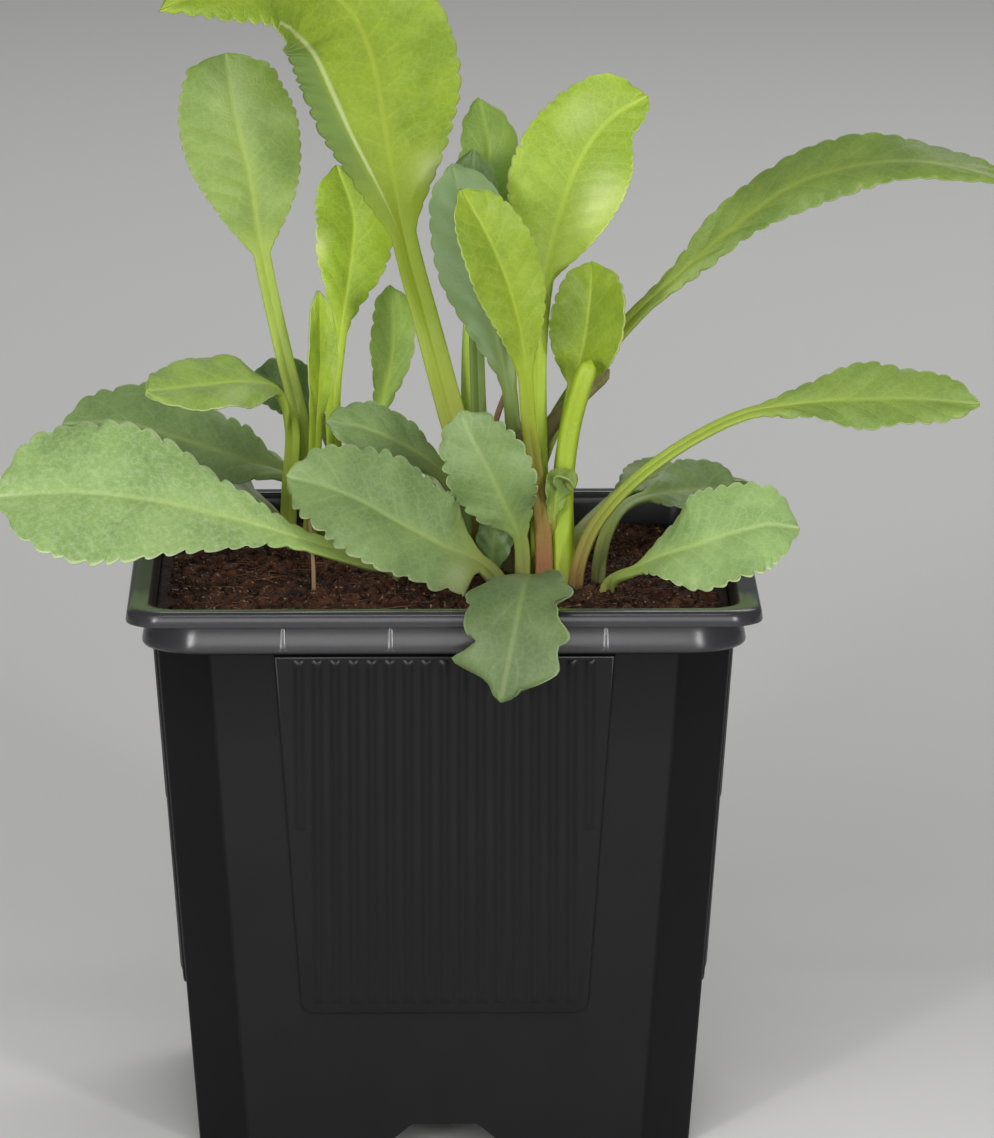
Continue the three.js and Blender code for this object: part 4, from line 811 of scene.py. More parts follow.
# Each leaf runs up its stalk and along its midrib: path in mm, heights above the soil, the blade from point bladeAt.
# half, stalk: half widths; widest: place of the widest part; teeth: scallops on a side, tooth: their depth in mm;
# left, right: bend of the two halves in degrees, near the midrib and at the edge; sides: width of each half;
# pale: places that look whiter, as share of the length, share of the half width, their two sizes and strength;
# bulge: where the edge stands out, as share of the length, side (-1 left), its length and mm; crease: a fold on one
# side, its shares of the width at start and end, its turn in degrees, and where it starts and ends;
# foot: length and strength of the reddish stalk base.
soilLevel = 77.0
bladeSpec = {
    "thickness": 0.5, "edgeThickness": 0.2, "keel": 1.1, "tipReach": 0.96, "ruffle": 0.2, "quilt": 0.15,
    "veinClimb": 1.6, "rowsPerTooth": 7, "stalkRows": 20, "roundFrom": 0.86,
}
plants = [
    dict(name="leaf_tall_left", look="mid", half=8.9, stalk=1.25, widest=0.6, teeth=17, tooth=0.55, wave=0.3,
         bladeAt=4, face=[0.1, -1, 0.15], tipFace=[0.1, -1, 0.3], left=[12, -8], right=[10, 4], fill=0.6, point=0.42,
         pale=[(0.82, -0.1, 0.16, 0.5, 0.25)], bulge=[(0.97, -1, 0.05, 2.2), (0.93, 1, 0.06, 0.8)],
         path=[(-17.5, 20.5, -6), (-18.5, 20.5, 5), (-20.5, 20.5, 18.4), (-23.5, 22.5, 30.8), (-26.4, 25.5, 44),
               (-28.2, 28, 55), (-30.6, 30.5, 65.5), (-31.8, 33, 72.8)]),
    dict(name="leaf_top_arching", look="bright", half=12.7, stalk=1.9, widest=0.36, teeth=30, tooth=0.8, wave=0.3,
         bladeAt=4, face=[0.1, -1, 0.1], tipFace=[-0.1, -0.95, 0.4], left=[8, -12], right=[12, -10],
         sides=[1, 0.98], fill=0.72, point=0.9, foot=(32, 0.5), crease=(-1, 0.3, 0.8, -34, 0.0, 0.72), toneWithPaintedLight=0.84,
         # this pale spot is a painted highlight
         pale=[(0.13, 0.8, 0.035, 0.3, 0.6)],
         path=[(6, 3.5, -6), (5, 6, 11), (1.5, 8, 23), (-2, 9.5, 36), (-5.5, 9.5, 49.5), (-8.2, 7.5, 65.5),
               (-9.8, 5, 75.2), (-13, 1.5, 83.4), (-18.4, -2, 88.4), (-24.5, -6, 90.3), (-30.5, -10.5, 89.6),
               (-36, -14, 87.9), (-40.2, -16, 86.2)]),
    dict(name="leaf_mid_left", look="bright", half=6.3, stalk=1.1, widest=0.6, teeth=11, tooth=0.6, wave=0.5,
         bladeAt=3, face=[0.2, -1, 0.1], tipFace=[0.2, -1, 0.2], left=[20, 5], right=[15, -10], fill=0.8, toneWithPaintedLight=1.4,
         pale=[(0.5, -0.9, 0.08, 0.2, 0.35)],
         path=[(-14, 24.5, -6), (-15.5, 24.5, 9.9), (-16, 25.5, 21.9), (-15, 27, 31.8), (-13.5, 29, 41.6),
               (-13, 31, 48.7), (-15.5, 33.5, 56)]),
    dict(name="leaf_small_upright", look="bright", half=3, stalk=1, widest=0.5, teeth=5, tooth=0.15, wave=0.1,
         bladeAt=2, face=[0.3, -1, 0], tipFace=[0.3, -1, 0], left=[45, 35], right=[45, 30],
         path=[(-20.5, 16.5, -6), (-19, 17, 9), (-18.5, 17, 20), (-18, 17, 30), (-18, 17, 40)]),
    dict(name="leaf_narrow_upright", look="mid", half=3.5, stalk=1, widest=0.6, teeth=8, tooth=0.4, wave=0.2,
         bladeAt=2, face=[-0.2, -1, 0], tipFace=[-0.2, -1, 0.2], left=[15, 10], right=[10, 0], toneWithPaintedLight=1.5,
         path=[(-10, 29, -6), (-10.5, 30, 6.9), (-9.5, 32, 17.3), (-7.5, 34, 25.6), (-7, 36, 31.4),
               (-7.5, 38, 37.2)]),
    dict(name="leaf_level_left", look="mid", half=5.8, stalk=1.1, widest=0.5, teeth=9, tooth=0.3, wave=0.3,
         bladeAt=3, face=[0, -0.55, 0.85], tipFace=[-0.2, -0.6, 0.8], left=[8, -10], right=[15, 0], fill=0.7,
         toneWithPaintedLight=1.18,
         path=[(-23, 20.5, -6), (-22.5, 19, 9), (-22, 16, 20), (-23.8, 12, 26), (-28, 8, 28), (-34.5, 4, 28.3),
               (-43, -1, 28.3)]),
    dict(name="leaf_low_left", look="grey", half=8, stalk=1.5, widest=0.55, teeth=13, tooth=1.3, wave=0.5, toneWithPaintedLight=1.08,
         bladeAt=2, face=[0, -0.5, 0.85], tipFace=[-0.1, -0.6, 0.8], left=[0, -25], right=[18, 6], fill=0.75,
         path=[(-17, 26.5, -6), (-18.5, 26.5, 4), (-22, 28, 10), (-29, 30.5, 12), (-38, 32.5, 14.6),
               (-47.5, 34, 17), (-56.5, 36, 16.4)]),
    dict(name="leaf_shaded_left", look="shaded", half=5, stalk=1, widest=0.6, teeth=7, tooth=0.4, wave=0.2,
         bladeAt=2, face=[0, -0.7, 0.7], tipFace=[0, -0.7, 0.7], left=[10, 0], right=[10, 0],
         path=[(-13.5, 30, -6), (-14.5, 31, 7), (-17.5, 32, 17), (-22, 33, 22), (-28, 34, 24.5)]),
    dict(name="leaf_front_left", look="grey", half=12, stalk=1.6, widest=0.7, teeth=16, tooth=1.3, wave=0.5,
         toneWithPaintedLight=1.35, speckle=0.45, bladeAt=3, face=[0.1, -0.75, 0.65], tipFace=[0, -0.75, 0.65], left=[8, -4],
         right=[10, -4], fill=1.05, foot=(6, 0.4),
         path=[(-4, -2.5, -6), (-6, -4.3, 2.8), (-11, -7.5, 5), (-17, -10.5, 7.4), (-24, -12.5, 10),
               (-32, -13.8, 12.6), (-42, -14, 15), (-54, -13, 16), (-64.5, -12, 15)]),
    dict(name="leaf_spread_front", look="grey", half=9, stalk=1.5, widest=0.48, teeth=13, tooth=1.2, wave=0.6,
         toneWithPaintedLight=0.98, bladeAt=2, face=[0.1, -0.7, 0.7], tipFace=[-0.1, -0.75, 0.65], left=[12, -8], right=[12, 5],
         fill=0.62, pale=[(0.07, -0.7, 0.07, 0.5, 0.7)],
         bulge=[(0.06, -1, 0.05, 4.0), (0.16, -1, 0.07, 2.4), (0.15, 1, 0.1, 1.8)],
         path=[(9, -8.5, -6), (8, -11, 2.2), (5, -13, 5.7), (0, -14.5, 8.2), (-6, -15, 11.6), (-12, -14.5, 15),
               (-17.5, -13.5, 17), (-22.5, -12, 17.8)]),
    dict(name="leaf_spread_middle", look="grey", half=4.6, stalk=1.1, widest=0.55, teeth=9, tooth=0.45, wave=0.3,
         toneWithPaintedLight=0.95, bladeAt=3, face=[0, -0.75, 0.65], tipFace=[-0.1, -0.7, 0.7], left=[8, -10], right=[8, 0],
         fill=0.7,
         path=[(3, 0.5, -6), (3, 1, 3), (3, 2, 10), (0, 3, 15.4), (-5, 3, 19.2), (-11, 2, 22.2),
               (-17, 0.5, 23.6)]),
    dict(name="leaf_front_middle", look="grey", half=6.5, stalk=1.1, widest=0.52, teeth=10, tooth=0.95, wave=0.5,
         toneWithPaintedLight=1.0, bladeAt=2, face=[-0.2, -0.95, 0.3], tipFace=[-0.1, -0.95, 0.35], left=[10, 0], right=[14, 5],
         fill=0.7,
         path=[(10.7, -4.2, -6), (11.6, -5.2, 3), (11.2, -7, 8), (9, -9.5, 13.5), (6.5, -11, 19),
               (4, -11.5, 24), (2.5, -11, 27.5)]),
    dict(name="leaf_over_lip", look="grey", half=7.6, stalk=1.3, widest=0.55, teeth=5, tooth=1.9, wave=0.7,
         toneWithPaintedLight=0.6, bladeAt=3, face=[0, -0.2, 1], tipFace=[-0.1, -1, 0.1], left=[0, 20], right=[8, -12],
         bulge=[(0.86, 1, 0.04, 2.4), (0.93, 1, 0.03, -1.0), (0.55, 1, 0.08, 0.6), (0.6, -1, 0.05, -1.6),
                (0.69, -1, 0.05, 1.2), (0.82, -1, 0.05, 1.3)],
         path=[(15.5, -10, -6), (15.5, -13.5, 2.4), (14.5, -21, 5), (13, -30, 7), (12, -38, 8.6),
               (11, -45.5, 7.8), (9.5, -50, 2), (7.8, -51.5, -6.5)]),
    dict(name="leaf_bright_middle", look="bright", half=6, stalk=1.1, widest=0.6, teeth=16, tooth=0.4, wave=0.3,
         bladeAt=4, face=[0, -1, 0.05], tipFace=[0.1, -1, 0.15], left=[35, 30], right=[10, -8], fill=0.8,
         foot=(26, 1.0), toneWithPaintedLight=0.86,
         path=[(14.5, -4.5, -6), (14.7, -4.5, 7), (13.5, -5, 17), (12.5, -5.5, 24.1), (12, -6.5, 31.2),
               (11, -8, 39), (9, -10, 46.6), (6, -12, 53.8), (2.5, -13, 60)]),
    dict(name="leaf_grey_middle", look="grey", half=6.5, stalk=1.1, widest=0.6, teeth=12, tooth=0.5, wave=0.3,
         toneWithPaintedLight=0.86, bladeAt=3, face=[0.1, 1, 0.1], tipFace=[0.1, 1, 0.1], left=[8, 0], right=[12, 4], fill=0.8,
         path=[(10, 0.5, -6), (10.2, 0.5, 9), (10.3, 0.8, 21), (9.8, 1, 28), (8, 1.5, 36), (6, 2, 43.5),
               (4, 2.5, 52), (1.5, 4, 61)]),
    dict(name="leaf_dark_tip", look="shaded", half=4.2, stalk=1.1, widest=0.6, teeth=8, tooth=0.5, wave=0.2,
         bladeAt=3, face=[0.2, -1, 0], tipFace=[0.2, -1, 0.2], left=[12, 0], right=[12, 0],
         path=[(8, 9, -6), (6.5, 10, 9), (5.5, 10.5, 22), (5, 11, 37), (4.6, 11.3, 49), (4.5, 12.5, 61.7)]),
    dict(name="leaf_upper_small", look="mid", half=5, stalk=1.1, widest=0.6, teeth=10, tooth=0.5, wave=0.2,
         bladeAt=3, face=[0.2, -1, 0.1], tipFace=[0.2, -1, 0.3], left=[15, 5], right=[10, -10], toneWithPaintedLight=1.5,
         path=[(6, 13.5, -6), (4.8, 14.5, 9), (4, 16, 21.9), (4.4, 17.7, 36.7), (6, 20, 50.5), (7, 22, 60.3),
               (5.5, 24.5, 67.5)]),
    dict(name="leaf_upper_right", look="bright", half=9.2, stalk=1.3, widest=0.48, teeth=20, tooth=0.45, wave=0.5,
         toneWithPaintedLight=1.12, bladeAt=4, face=[0.1, -1, 0.2], tipFace=[0, -1, 0.3], left=[4, -10], right=[12, 18],
         sides=[1, 0.92], fill=0.64, bulge=[(0.84, 1, 0.12, -2.0)],
         # these pale patches are painted sheen
         pale=[(0.72, -0.45, 0.1, 0.3, 0.2), (0.42, 0.65, 0.16, 0.35, 0.35)],
         path=[(14.5, 0.5, -6), (14.2, 1, 9), (13.9, 2.5, 22.9), (14, 4.5, 33.7), (15, 6.5, 43.5), (17, 9, 52),
               (20.3, 12, 60.4), (24.8, 14, 66), (30.2, 15, 69)]),
    dict(name="leaf_curled", look="bright", half=5.8, stalk=1.1, widest=0.5, teeth=9, tooth=0.4, wave=0.5,
         toneWithPaintedLight=0.82, bladeAt=3, face=[-0.1, -1, 0.1], tipFace=[0, -1, 0.4], left=[20, 20], right=[34, 44], fill=0.58,
         sides=[1, 1.25],
         path=[(18.5, 2.5, -6), (18, 3, 9), (18, 3, 21), (19.3, 3, 28.5), (20.7, 3, 35), (21.5, 3.5, 41),
               (21.8, 5, 46.4)]),
    dict(name="leaf_long_right", look="mid", half=6.6, stalk=1.3, widest=0.52, teeth=20, tooth=0.8, toneWithPaintedLight=0.82, wave=0.4,
         bladeAt=4, face=[-0.35, -0.7, 0.6], tipFace=[0.2, -0.25, 1], left=[6, 8], right=[-10, -30],
         sides=[1, 0.7], fill=1.05, point=0.85,
         path=[(12, 8.5, -6), (12.5, 9, 9), (16, 10.5, 20.5), (21.5, 12, 29), (28, 13.5, 36.6),
               (35.5, 14, 43.4), (43.5, 14, 50.4), (52, 13, 56.4), (61, 11, 59.4), (69, 8.5, 60.4),
               (77, 5.5, 59.6), (84, 3, 57.6)]),
    dict(name="leaf_level_right", look="mid", half=6, stalk=0.95, widest=0.55, teeth=13, tooth=0.7, wave=0.4,
         toneWithPaintedLight=0.9, bladeAt=6, face=[-0.2, -0.7, 0.7], tipFace=[0, -0.7, 0.7], left=[12, 4], right=[4, -10],
         sides=[1, 0.8], point=0.65, foot=(16, 0.9),
         path=[(19.5, -6.8, -6), (19.3, -7.2, 2), (21.2, -8, 8.5), (24.5, -9, 13.5), (29.5, -10, 18.5),
               (36, -10, 23), (43.5, -10, 26.6), (51.5, -10, 28), (60, -10, 28.6), (68.5, -10, 28.6),
               (77.4, -10, 27.8)]),
    dict(name="leaf_low_right_back", look="grey", half=5.4, stalk=0.95, widest=0.55, teeth=9, tooth=0.5, wave=0.3,
         toneWithPaintedLight=0.83, bladeAt=4, face=[-0.2, -0.75, 0.6], tipFace=[0, -0.75, 0.6], left=[8, 0], right=[6, 0],
         fill=0.7,
         path=[(22.8, -3, -6), (22.8, -2, 3), (24.2, 1.5, 7.5), (26.5, 6, 9.8), (30, 11, 10.4), (35, 15, 10.3),
               (40, 19, 9.8), (44.5, 22, 8.4)]),
    dict(name="leaf_low_right_front", look="grey", half=8.4, stalk=1, widest=0.55, teeth=14, tooth=1.0, wave=0.5,
         toneWithPaintedLight=1.42, bladeAt=2, face=[0, -0.65, 0.75], tipFace=[0.1, -0.7, 0.7], left=[10, 2], right=[4, -6],
         fill=0.85, foot=(4, 0.5),
         path=[(23.5, -10, -6), (24, -12, 2.2), (27.5, -16, 5), (31.5, -19, 7.6), (36, -21, 9.5),
               (41, -21.5, 11.3), (46.5, -21, 12.5), (51, -20, 11.7)]),
    dict(name="leaf_crown_dark", look="shaded", half=2.8, stalk=0.9, widest=0.6, teeth=4, tooth=0.3, wave=0.1,
         bladeAt=1, face=[-0.1, -1, 0.3], tipFace=[-0.1, -1, 0.3], left=[10, 0], right=[10, 0],
         path=[(6.8, -3, -6), (7, -3.8, 1.5), (7.5, -4.2, 6), (8, -4.6, 11)]),
    dict(name="leaf_crown_low", look="mid", half=2.6, stalk=0.9, widest=0.6, teeth=4, tooth=0.3, wave=0.1, toneWithPaintedLight=0.85,
         bladeAt=1, face=[0, -0.8, 0.6], tipFace=[0, -0.8, 0.6], left=[10, 0], right=[10, 0],
         path=[(2.5, -5, -6), (1.5, -6.5, 2), (-1.5, -9, 3.9), (-5, -11, 4.4)]),
    dict(name="leaf_back_middle", look="mid", half=7.5, stalk=1.2, widest=0.6, teeth=14, tooth=0.7, wave=0.5,
         bladeAt=2, face=[0, -0.1, 1], tipFace=[0, 0.6, 0.8], left=[12, 0], right=[12, -5],
         path=[(0, 7.5, -6), (0, 10, 2.8), (0.5, 19, 7.2), (1.5, 30, 9.8), (3, 41, 9.8), (4, 50, 7),
               (4.5, 57, 1)]),
    dict(name="leaf_back_right", look="mid", half=7, stalk=1.1, widest=0.6, teeth=13, tooth=0.7, wave=0.5,
         bladeAt=2, face=[0, -0.1, 1], tipFace=[0.4, 0.5, 0.8], left=[12, 0], right=[12, -5],
         path=[(17.5, 7.5, -6), (19, 11, 2.8), (24, 20, 7), (30, 30, 8.8), (36, 40, 8.4), (41.5, 48, 5),
               (45, 54, -0.5)]),
    dict(name="leaf_back_left", look="grey", half=6.5, stalk=1.1, widest=0.6, teeth=11, tooth=0.7, wave=0.5,
         bladeAt=1, face=[0, -0.1, 1], tipFace=[-0.4, 0.5, 0.8], left=[12, 0], right=[12, -5],
         path=[(-21, 30, -6), (-25, 33, 3.4), (-31, 37.5, 7), (-38, 43.5, 8), (-43, 49, 5), (-46, 54, -1)]),
]
bareStalks = [
    dict(name="stalk_front", look="bright", stalk=1.5, face=[0, -1, 0.1], foot=(5, 0.3),
         path=[(18, -3.2, -6), (17.5, -2.7, 4), (17.5, -2.5, 15), (18.5, -2.5, 23), (20, -3, 29), (21.5, -3, 33.5)]),
    dict(name="stalk_back", look="shaded", stalk=1.2, face=[-0.2, -1, 0.1], foot=(60, 0.9),
         path=[(13.8, 5, -6), (12.4, 6, 9), (15, 6.5, 20.5), (20, 6.5, 26), (24.5, 6.3, 30.3)]),
]


class StemCurve:
    # a smooth curve through the path's points, read by its share of the length
    def __init__(self, path, perSpan=40):
        points = [np.array((x, y, z + soilLevel), float) for x, y, z in path]
        points = [2 * points[0] - points[1]] + points + [2 * points[-1] - points[-2]]
        made = []
        for k in range(1, len(points) - 2):
            p0, p1, p2, p3 = points[k - 1:k + 3]
            d0, d1, d2 = (max(np.linalg.norm(b - a) ** 0.5, 1e-4) for a, b in ((p0, p1), (p1, p2), (p2, p3)))
            t1 = ((p1 - p0) / d0 - (p2 - p0) / (d0 + d1) + (p2 - p1) / d1) * d1
            t2 = ((p2 - p1) / d1 - (p3 - p1) / (d1 + d2) + (p3 - p2) / d2) * d1
            for step in range(perSpan):
                w = step / perSpan
                made.append(p1 + t1 * w + (3 * (p2 - p1) - 2 * t1 - t2) * w * w + (2 * (p1 - p2) + t1 + t2) * w ** 3)
        made.append(points[-2])
        self.points = np.array(made)
        steps = np.linalg.norm(np.diff(self.points, axis=0), axis=1)
        self.lengths = np.concatenate([[0], np.cumsum(steps)])
        self.total = self.lengths[-1]
        self.knots = self.lengths[::perSpan] / self.total

    def at(self, share):
        where = np.clip(share, 0, 1) * self.total
        return np.array([np.interp(where, self.lengths, self.points[:, k]) for k in range(3)])

    def along(self, share):
        step = 0.004
        way = self.at(min(share + step, 1)) - self.at(max(share - step, 0))
        return way / np.linalg.norm(way)


def unit(v):
    return v / np.linalg.norm(v)


def frameOn(curve, share, face):
    along = curve.along(share)
    out = unit(face - along * np.dot(face, along))
    return curve.at(share), along, out, np.cross(along, out)


def bladeHalf(leaf, s):
    if s < leaf["widest"]:
        t = (s / leaf["widest"]) ** leaf.get("fill", 1)
        return leaf["stalk"] + (leaf["half"] - leaf["stalk"]) * t * t * (3 - 2 * t)
    t = (s - leaf["widest"]) / (1 - leaf["widest"])
    return leaf["half"] * (1 - t * t * 0.93) ** leaf.get("point", 0.5)


def tipRounding(s):
    # draws the blade's end in on a curve
    start = bladeSpec["roundFrom"]
    if s <= start:
        return 1.0
    return max(math.sqrt(max(1 - ((s - start) / (1 - start)) ** 2.4, 0)), 0.02)


columnPlaces = np.array([0, 0.05, 0.12, 0.21, 0.32, 0.44, 0.56, 0.68, 0.79, 0.88, 0.95, 1.0])
columns = np.concatenate([-columnPlaces[:0:-1], columnPlaces])
leafMarks = ("veinPhase", "acrossMm", "rim", "pale", "foldGap", "stalkness", "footness", "speckle", "lightness", "beneath")


def bendAcross(q, bends, foldAt=1.0, foldTurn=0.0):
    # how far out and up a point at share q of the half width lies, and the slope of the surface there
    inner, outer = bends[0 if q < 0 else 1]
    reach = abs(q)
    steps = (np.arange(12) + 0.5) / 12 * reach

    def slope(share):
        return np.radians(inner + (outer - inner) * share + foldTurn * np.clip((share - foldAt) / 0.08 + 0.5, 0, 1))
    angles = slope(steps)
    return np.cos(angles).mean() * reach, np.sin(angles).mean() * reach, float(slope(reach))


def bump(distance):
    return math.exp(-distance * distance)


def leafPiece(leaf, number):
    s0 = bladeSpec
    curve = StemCurve(leaf["path"])
    start = curve.knots[leaf["bladeAt"]]
    faceFrom, faceTo = np.array(leaf["face"], float), np.array(leaf["tipFace"], float)
    seed = len(leaf["name"]) * 1.7 + leaf["teeth"]
    draw = np.random.default_rng(100 + number)
    toothSize = draw.uniform(0.6, 1.3, (2, leaf["teeth"] + 2))
    toothSlip = draw.uniform(-0.2, 0.2, (2, leaf["teeth"] + 3))
    veins = max(4, round(leaf["teeth"] * 0.55))
    rowCount = max(leaf["teeth"] * s0["rowsPerTooth"], 48)
    rows = [("stalk", t) for t in np.linspace(0, 1, s0["stalkRows"])[:-1]]
    rows += [("blade", t) for t in np.linspace(0, 1, rowCount + 1)]
    upper, lower = [], []
    marks = {name: ([], []) for name in leafMarks}
    footLength, footTint = leaf.get("foot", (9, 0.45))
    foldHand, foldLow, foldHigh, foldTurn, foldFrom, foldTo = leaf.get("crease", (0, 1.0, 1.0, 0.0, 0.0, 1.0))
    for kind, t in rows:
        s = t if kind == "blade" else 0.0
        share = start + (1 - start) * t if kind == "blade" else max(start * t, 0.0001)
        face = faceFrom + (faceTo - faceFrom) * s
        origin, along, out, side = frameOn(curve, share, face)
        ease = min(1, s * 4)
        bends = [[a * ease for a in leaf["left"]], [a * ease for a in leaf["right"]]]
        stalkT = t if kind == "stalk" else 1.0
        flare = 1 + 0.25 * (1 - stalkT) ** 2
        keelFull = s0["keel"] * leaf["stalk"] / 1.2 * ((1 - 0.25 * stalkT) if kind == "stalk" else 0.75 * (1 - s) ** 1.5)
        phase = s / s0["tipReach"] * leaf["teeth"]
        foldEase = max(0, min(1, (s - foldFrom) * 8, (foldTo - s) * 6))
        foldAt = foldLow + (foldHigh - foldLow) * max(0, min(1, (s - foldFrom) / (foldTo - foldFrom)))
        for q in columns:
            hand = 0 if q < 0 else 1
            reach = abs(q)
            half = bladeHalf(leaf, s) * (tipRounding(s) if kind == "blade" else flare)
            half *= 1 + (leaf.get("sides", [1, 1])[hand] - 1) * ease
            if kind == "blade":
                half += sum(tipRounding(s) * reachOut * bump((s - at) / size) for at, to, size, reachOut in leaf.get("bulge", [])
                            if to * q > 0)
            tooth = min(int(phase), leaf["teeth"])
            slip = toothSlip[hand][tooth] * (1 - (phase - tooth)) + toothSlip[hand][tooth + 1] * (phase - tooth)
            lobe = abs(math.sin(math.pi * (phase + slip * ease))) ** 0.6
            depth = min(leaf["tooth"] * toothSize[hand][tooth] / half, 0.45) * min(1, s * 7)
            notch = depth * (1 - lobe) * reach ** 5 if kind == "blade" else 0
            folded = foldTurn * foldEase if q * foldHand > 0 else 0.0
            flat, rise, angle = bendAcross(q, bends, foldAt, folded)
            wide = half * (1 - notch)
            lift = leaf["wave"] * ease * math.sin(s * 17 + seed + (2.2 if q < 0 else 0)) * reach * reach
            veinPhase = s * veins - 0.5 + s0["veinClimb"] * (1 - reach ** 0.8)
            puff = abs(math.sin(math.pi * veinPhase)) * math.sin(math.pi * min(reach * 1.05, 1)) * ease
            lift += s0["quilt"] * puff + s0["ruffle"] * ease * reach ** 4 * math.sin(9 * s * veins / 5 + seed + hand)
            lift += 0.35 * ease * softNoise(s * 6, q * 2, number) * reach
            pale = sum(strength * bump((s - ps) / sizeS) * bump((q - pq) / sizeQ)
                       for ps, pq, sizeS, sizeQ, strength in leaf.get("pale", []))
            beyondEnds = max(0, s - foldTo, foldFrom - s) * 8
            foldGap = q * foldHand - foldAt - beyondEnds if foldHand else 5.0
            place = origin + side * np.sign(q) * flat * wide + out * (rise * half + lift) + along * notch * half * -0.4
            normal = out * math.cos(angle) - side * np.sign(q) * math.sin(angle)
            roundness = math.sqrt(max(1 - reach ** 2.2, 0))
            groove = 0.28 * leaf["stalk"] * (1 - reach) ** 1.5 * (1 - 0.7 * ease) if leaf["stalk"] > 0 else 0
            bladeKeel = keelFull * math.exp(-(reach * wide / 1.0) ** 2) + 0.1 * ease * math.exp(-(reach * wide / 0.6) ** 2)
            keel = keelFull * roundness * (1 - ease) + bladeKeel * ease
            thick = s0["thickness"] * (1 - reach ** 2) + s0["edgeThickness"] * reach ** 2
            upper.append(place + normal * (thick / 2 + 0.2 * (1 - ease) * roundness - groove))
            lower.append(place - normal * (thick / 2 + keel))
            height = origin[2] - soilLevel
            foot = max(0, min(1, 1.15 - height / footLength)) * footTint * (1 - ease)
            stalkMix = max(1 - s * 5, bump(reach * wide / 0.9) * (1 - s) ** 1.2 * 0.75) if kind == "blade" else 1
            edge = max(0, (reach - 0.95) / 0.05) * (0.7 if kind == "blade" else 0.1)
            # a leaf's lightness is partly its own tone and partly painted light and shade
            values = {"veinPhase": veinPhase, "acrossMm": reach * wide, "rim": edge, "pale": min(pale, 1), "foldGap": foldGap,
                      "stalkness": max(0, min(1, stalkMix)) * 0.85, "footness": foot, "speckle": leaf.get("speckle", 0.15),
                      "lightness": leaf.get("toneWithPaintedLight", 1.0)}
            for deck in (0, 1):
                for title, value in values.items():
                    marks[title][deck].append(value)
                # beyond a fold the upper side takes the underside colour, as painted shade
                paintedFoldShade = 0.9 * foldEase * max(0, min(1, foldGap / 0.1)) if folded else 0.0
                marks["beneath"][deck].append(max(paintedFoldShade, deck * (1.0 if reach < 0.97 else 0.4)))
    width, count = len(columns), len(rows)
    faces = []
    shift = width * count
    for r in range(count - 1):
        for c in range(width - 1):
            a, b = r * width + c, r * width + c + 1
            faces.append((a, b, b + width, a + width))
            faces.append((shift + a, shift + a + width, shift + b + width, shift + b))
        a, b = r * width, r * width + width - 1
        faces.append((a, a + width, shift + a + width, shift + a))
        faces.append((b, shift + b, shift + b + width, b + width))
    for c in range(width - 1):
        faces.append((c, shift + c, shift + c + 1, c + 1))
        a = (count - 1) * width + c
        faces.append((a, a + 1, shift + a + 1, shift + a))
    thing = meshObject(leaf["name"].replace("leaf_", "blade_"), upper + lower, faces, leafSkins[leaf["look"]])
    for name, (top, bottom) in marks.items():
        layer = thing.data.attributes.new(name, "FLOAT", "POINT")
        layer.data.foreach_set("value", [float(v) for v in top + bottom])
    return thing


def stalkPiece(stem, number):
    # a leaf stalk whose blade is gone, with a rounded, slightly shrivelled end
    curve = StemCurve(stem["path"])
    face = np.array(stem["face"], float)
    around, rowTotal = 20, 40
    points, marks = [], {"footness": [], "lightness": []}
    for r in range(rowTotal + 1):
        share = r / rowTotal
        origin, along, out, side = frameOn(curve, min(max(share, 0.001), 0.999), face)
        closing = math.sqrt(max(1 - max((share - 0.94) / 0.06, 0) ** 2, 0.0004))
        radius = stem["stalk"] * (1 + 0.18 * (1 - share) ** 2) * closing
        for k in range(around):
            angle = 2 * math.pi * k / around
            ridge = 1 + 0.04 * math.cos(5 * angle + share * 2)
            dent = 0.3 * math.exp(-((math.degrees(angle) - 90) / 30) ** 2)
            reach = radius * (ridge - dent)
            points.append(origin + side * math.cos(angle) * reach + out * math.sin(angle) * reach * 0.85)
            marks["footness"].append(max(0, min(1, 1 - (origin[2] - soilLevel) / stem["foot"][0])) * stem["foot"][1])
            marks["lightness"].append(1.0)
    faces = [tuple(range(around))[::-1], tuple(range(rowTotal * around, (rowTotal + 1) * around))]
    for r in range(rowTotal):
        for k in range(around):
            a, b = r * around + k, r * around + (k + 1) % around
            faces.append((a, b, b + around, a + around))
    thing = meshObject(stem["name"].replace("stalk_", "bareStalk_"), points, faces, leafSkins[stem["look"]])
    steady = {"veinPhase": 0.5, "acrossMm": 5.0, "foldGap": 5.0, "stalkness": 0.9}
    for name in leafMarks:
        if name not in marks:
            marks[name] = [steady.get(name, 0.0)] * len(points)
    for name, values in marks.items():
        layer = thing.data.attributes.new(name, "FLOAT", "POINT")
        layer.data.foreach_set("value", [float(v) for v in values])
    bm = bmesh.new()
    bm.from_mesh(thing.data)
    bmesh.ops.recalc_face_normals(bm, faces=bm.faces)
    bm.to_mesh(thing.data)
    bm.free()
    return thing


for number, leaf in enumerate(plants):
    blade = leafPiece(leaf, number)
    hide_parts(leaf["name"])
    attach(blade, "root")
for number, stem in enumerate(bareStalks):
    stalk = stalkPiece(stem, number)
    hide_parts(stem["name"])
    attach(stalk, "root")
print("leaves grown:", len(plants), "and", len(bareStalks), "bare stalks")


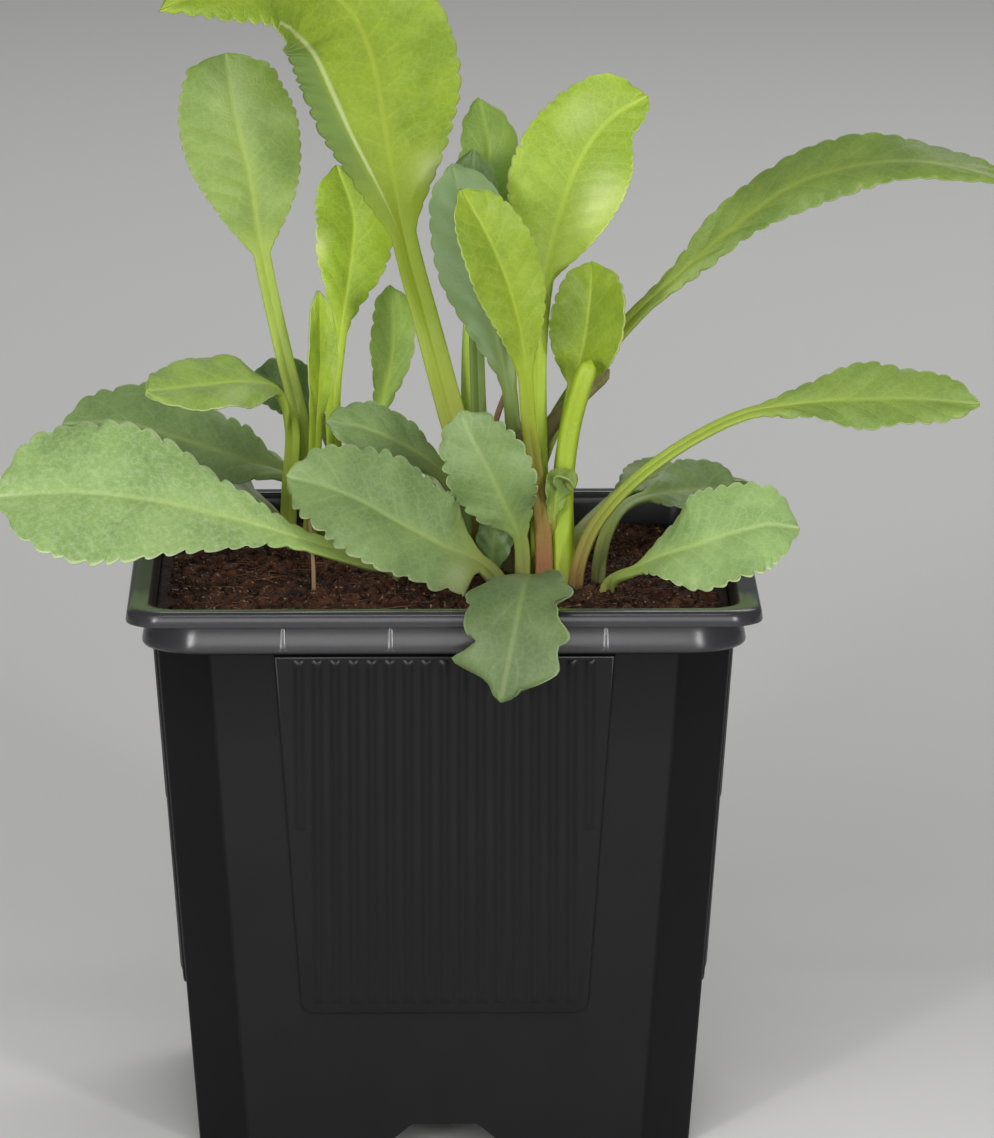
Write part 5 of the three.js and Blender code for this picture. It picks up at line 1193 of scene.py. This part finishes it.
# thin brown remains of older stalks at the crown, and one small curled leaf between the stalks
driedStems = [
    dict(name="driedSheath_left", look="shaded", stalk=0.45, face=[0, -1, 0.1], foot=(300, 1.0),
         path=[(6.5, 2.6, -2), (6.8, 3, 10), (7.2, 3, 20.4), (8.3, 3, 24.8), (10.1, 2.8, 29.3)]),
    dict(name="driedSheath_right", look="shaded", stalk=0.5, face=[0, -1, 0.1], foot=(300, 1.0),
         path=[(11.8, 1.9, -2), (11.7, 2.2, 10), (11.4, 2.4, 20), (10.4, 3, 26)]),
    dict(name="reddishPetiole", look="shaded", stalk=0.8, face=[0.3, -1, 0.1], foot=(60, 1.0),
         path=[(11.6, -2.2, -3), (10.6, -2, 12.5), (11, -1.4, 18.9), (12, -0.8, 23)]),
    dict(name="strawTip", look="shaded", stalk=0.3, face=[0, -1, 0.1], foot=(300, 0.8),
         path=[(-18.7, -10, -3), (-18.7, -10, 3.5), (-18.9, -10, 7.5), (-19.2, -10, 11.5)]),
]
curledBract = dict(name="curledBract", look="mid", half=2.3, stalk=0.7, widest=0.6, teeth=5, tooth=0.2, wave=0.2,
                   bladeAt=2, face=[0.3, -1, 0.2], tipFace=[0.4, -0.3, 1], left=[15, 30], right=[15, 40],
                   foot=(12, 0.8), toneWithPaintedLight=0.95,
                   path=[(15.7, -1.3, -3), (15.6, -1.7, 5), (15.9, -4.5, 10), (16.4, -5.4, 14.5), (17.6, -6.6, 16.6),
                         (19.2, -8, 15.6)])
for number, stem in enumerate(driedStems):
    piece = stalkPiece(stem, number + 10)
    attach(piece, "root")
bract = leafPiece(curledBract, 40)
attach(bract, "root")
print("small bits at the crown:", len(driedStems) + 1)


stageSpec = {
    "floorHalf": 3.0, "sky": 0.18,
    # each lamp: where it hangs, where it points and its two sizes in metres, its power in watts, its spread in degrees
    "lamps": {
        "keyBox": ((-0.5, -0.95, 0.75), (0.0, 0.0, 0.11), (0.5, 0.5), 2.2, 180),
        "backBox": ((0.3, 0.85, 1.0), (0.0, 0.0, 0.09), (0.9, 0.5), 5.5, 180),
        "frontBox": ((0.0, -1.2, 0.28), (0.0, 0.0, 0.09), (0.7, 0.4), 0.96, 90),
        "apronBox": ((0.0, -0.42, 0.55), (0.0, -0.22, 0.0), (0.25, 0.12), 0.17, 50),
        "leftStrip": ((-0.47, -1.02, 0.27), (0.0, 0.0, 0.08), (0.1, 0.36), 1.06, 90),
        "rightStrip": ((0.52, -0.99, 0.27), (0.0, 0.0, 0.08), (0.12, 0.36), 1.1, 90),
    },
}


def softBox(name, place, aim, size, power, spread):
    data = bpy.data.lights.new(name, "AREA")
    data.shape = "RECTANGLE"
    data.size, data.size_y = size
    data.energy = power
    data.spread = math.radians(spread)
    lamp = bpy.data.objects.new(name, data)
    lamp.location = place
    lamp.rotation_euler = (Vector(aim) - Vector(place)).to_track_quat("-Z", "Y").to_euler()
    bpy.context.scene.collection.objects.link(lamp)


def buildStage():
    # a pale paper floor under a plain sky, and soft box lights
    material, tree = newMaterial("palePaperFloor")
    shader = addNode(tree, "ShaderNodeBsdfPrincipled", None, {"Base Color": linearColour("#e2e1de"), "Roughness": 0.85})
    addNode(tree, "ShaderNodeOutputMaterial", None, None, {"Surface": shader.outputs[0]})
    half = stageSpec["floorHalf"] / mm
    floor = meshObject("floor", [(-half, -half, 0), (half, -half, 0), (half, half, 0), (-half, half, 0)], [(0, 1, 2, 3)],
                       material)
    world = bpy.data.worlds.new("studioSky")
    bpy.context.scene.world = world
    world.use_nodes = True
    world.node_tree.nodes["Background"].inputs["Color"].default_value = linearColour("#eceef2")
    world.node_tree.nodes["Background"].inputs["Strength"].default_value = stageSpec["sky"]
    for name, values in stageSpec["lamps"].items():
        softBox(name, *values)
    bpy.context.scene.view_settings.view_transform = "Standard"


buildStage()
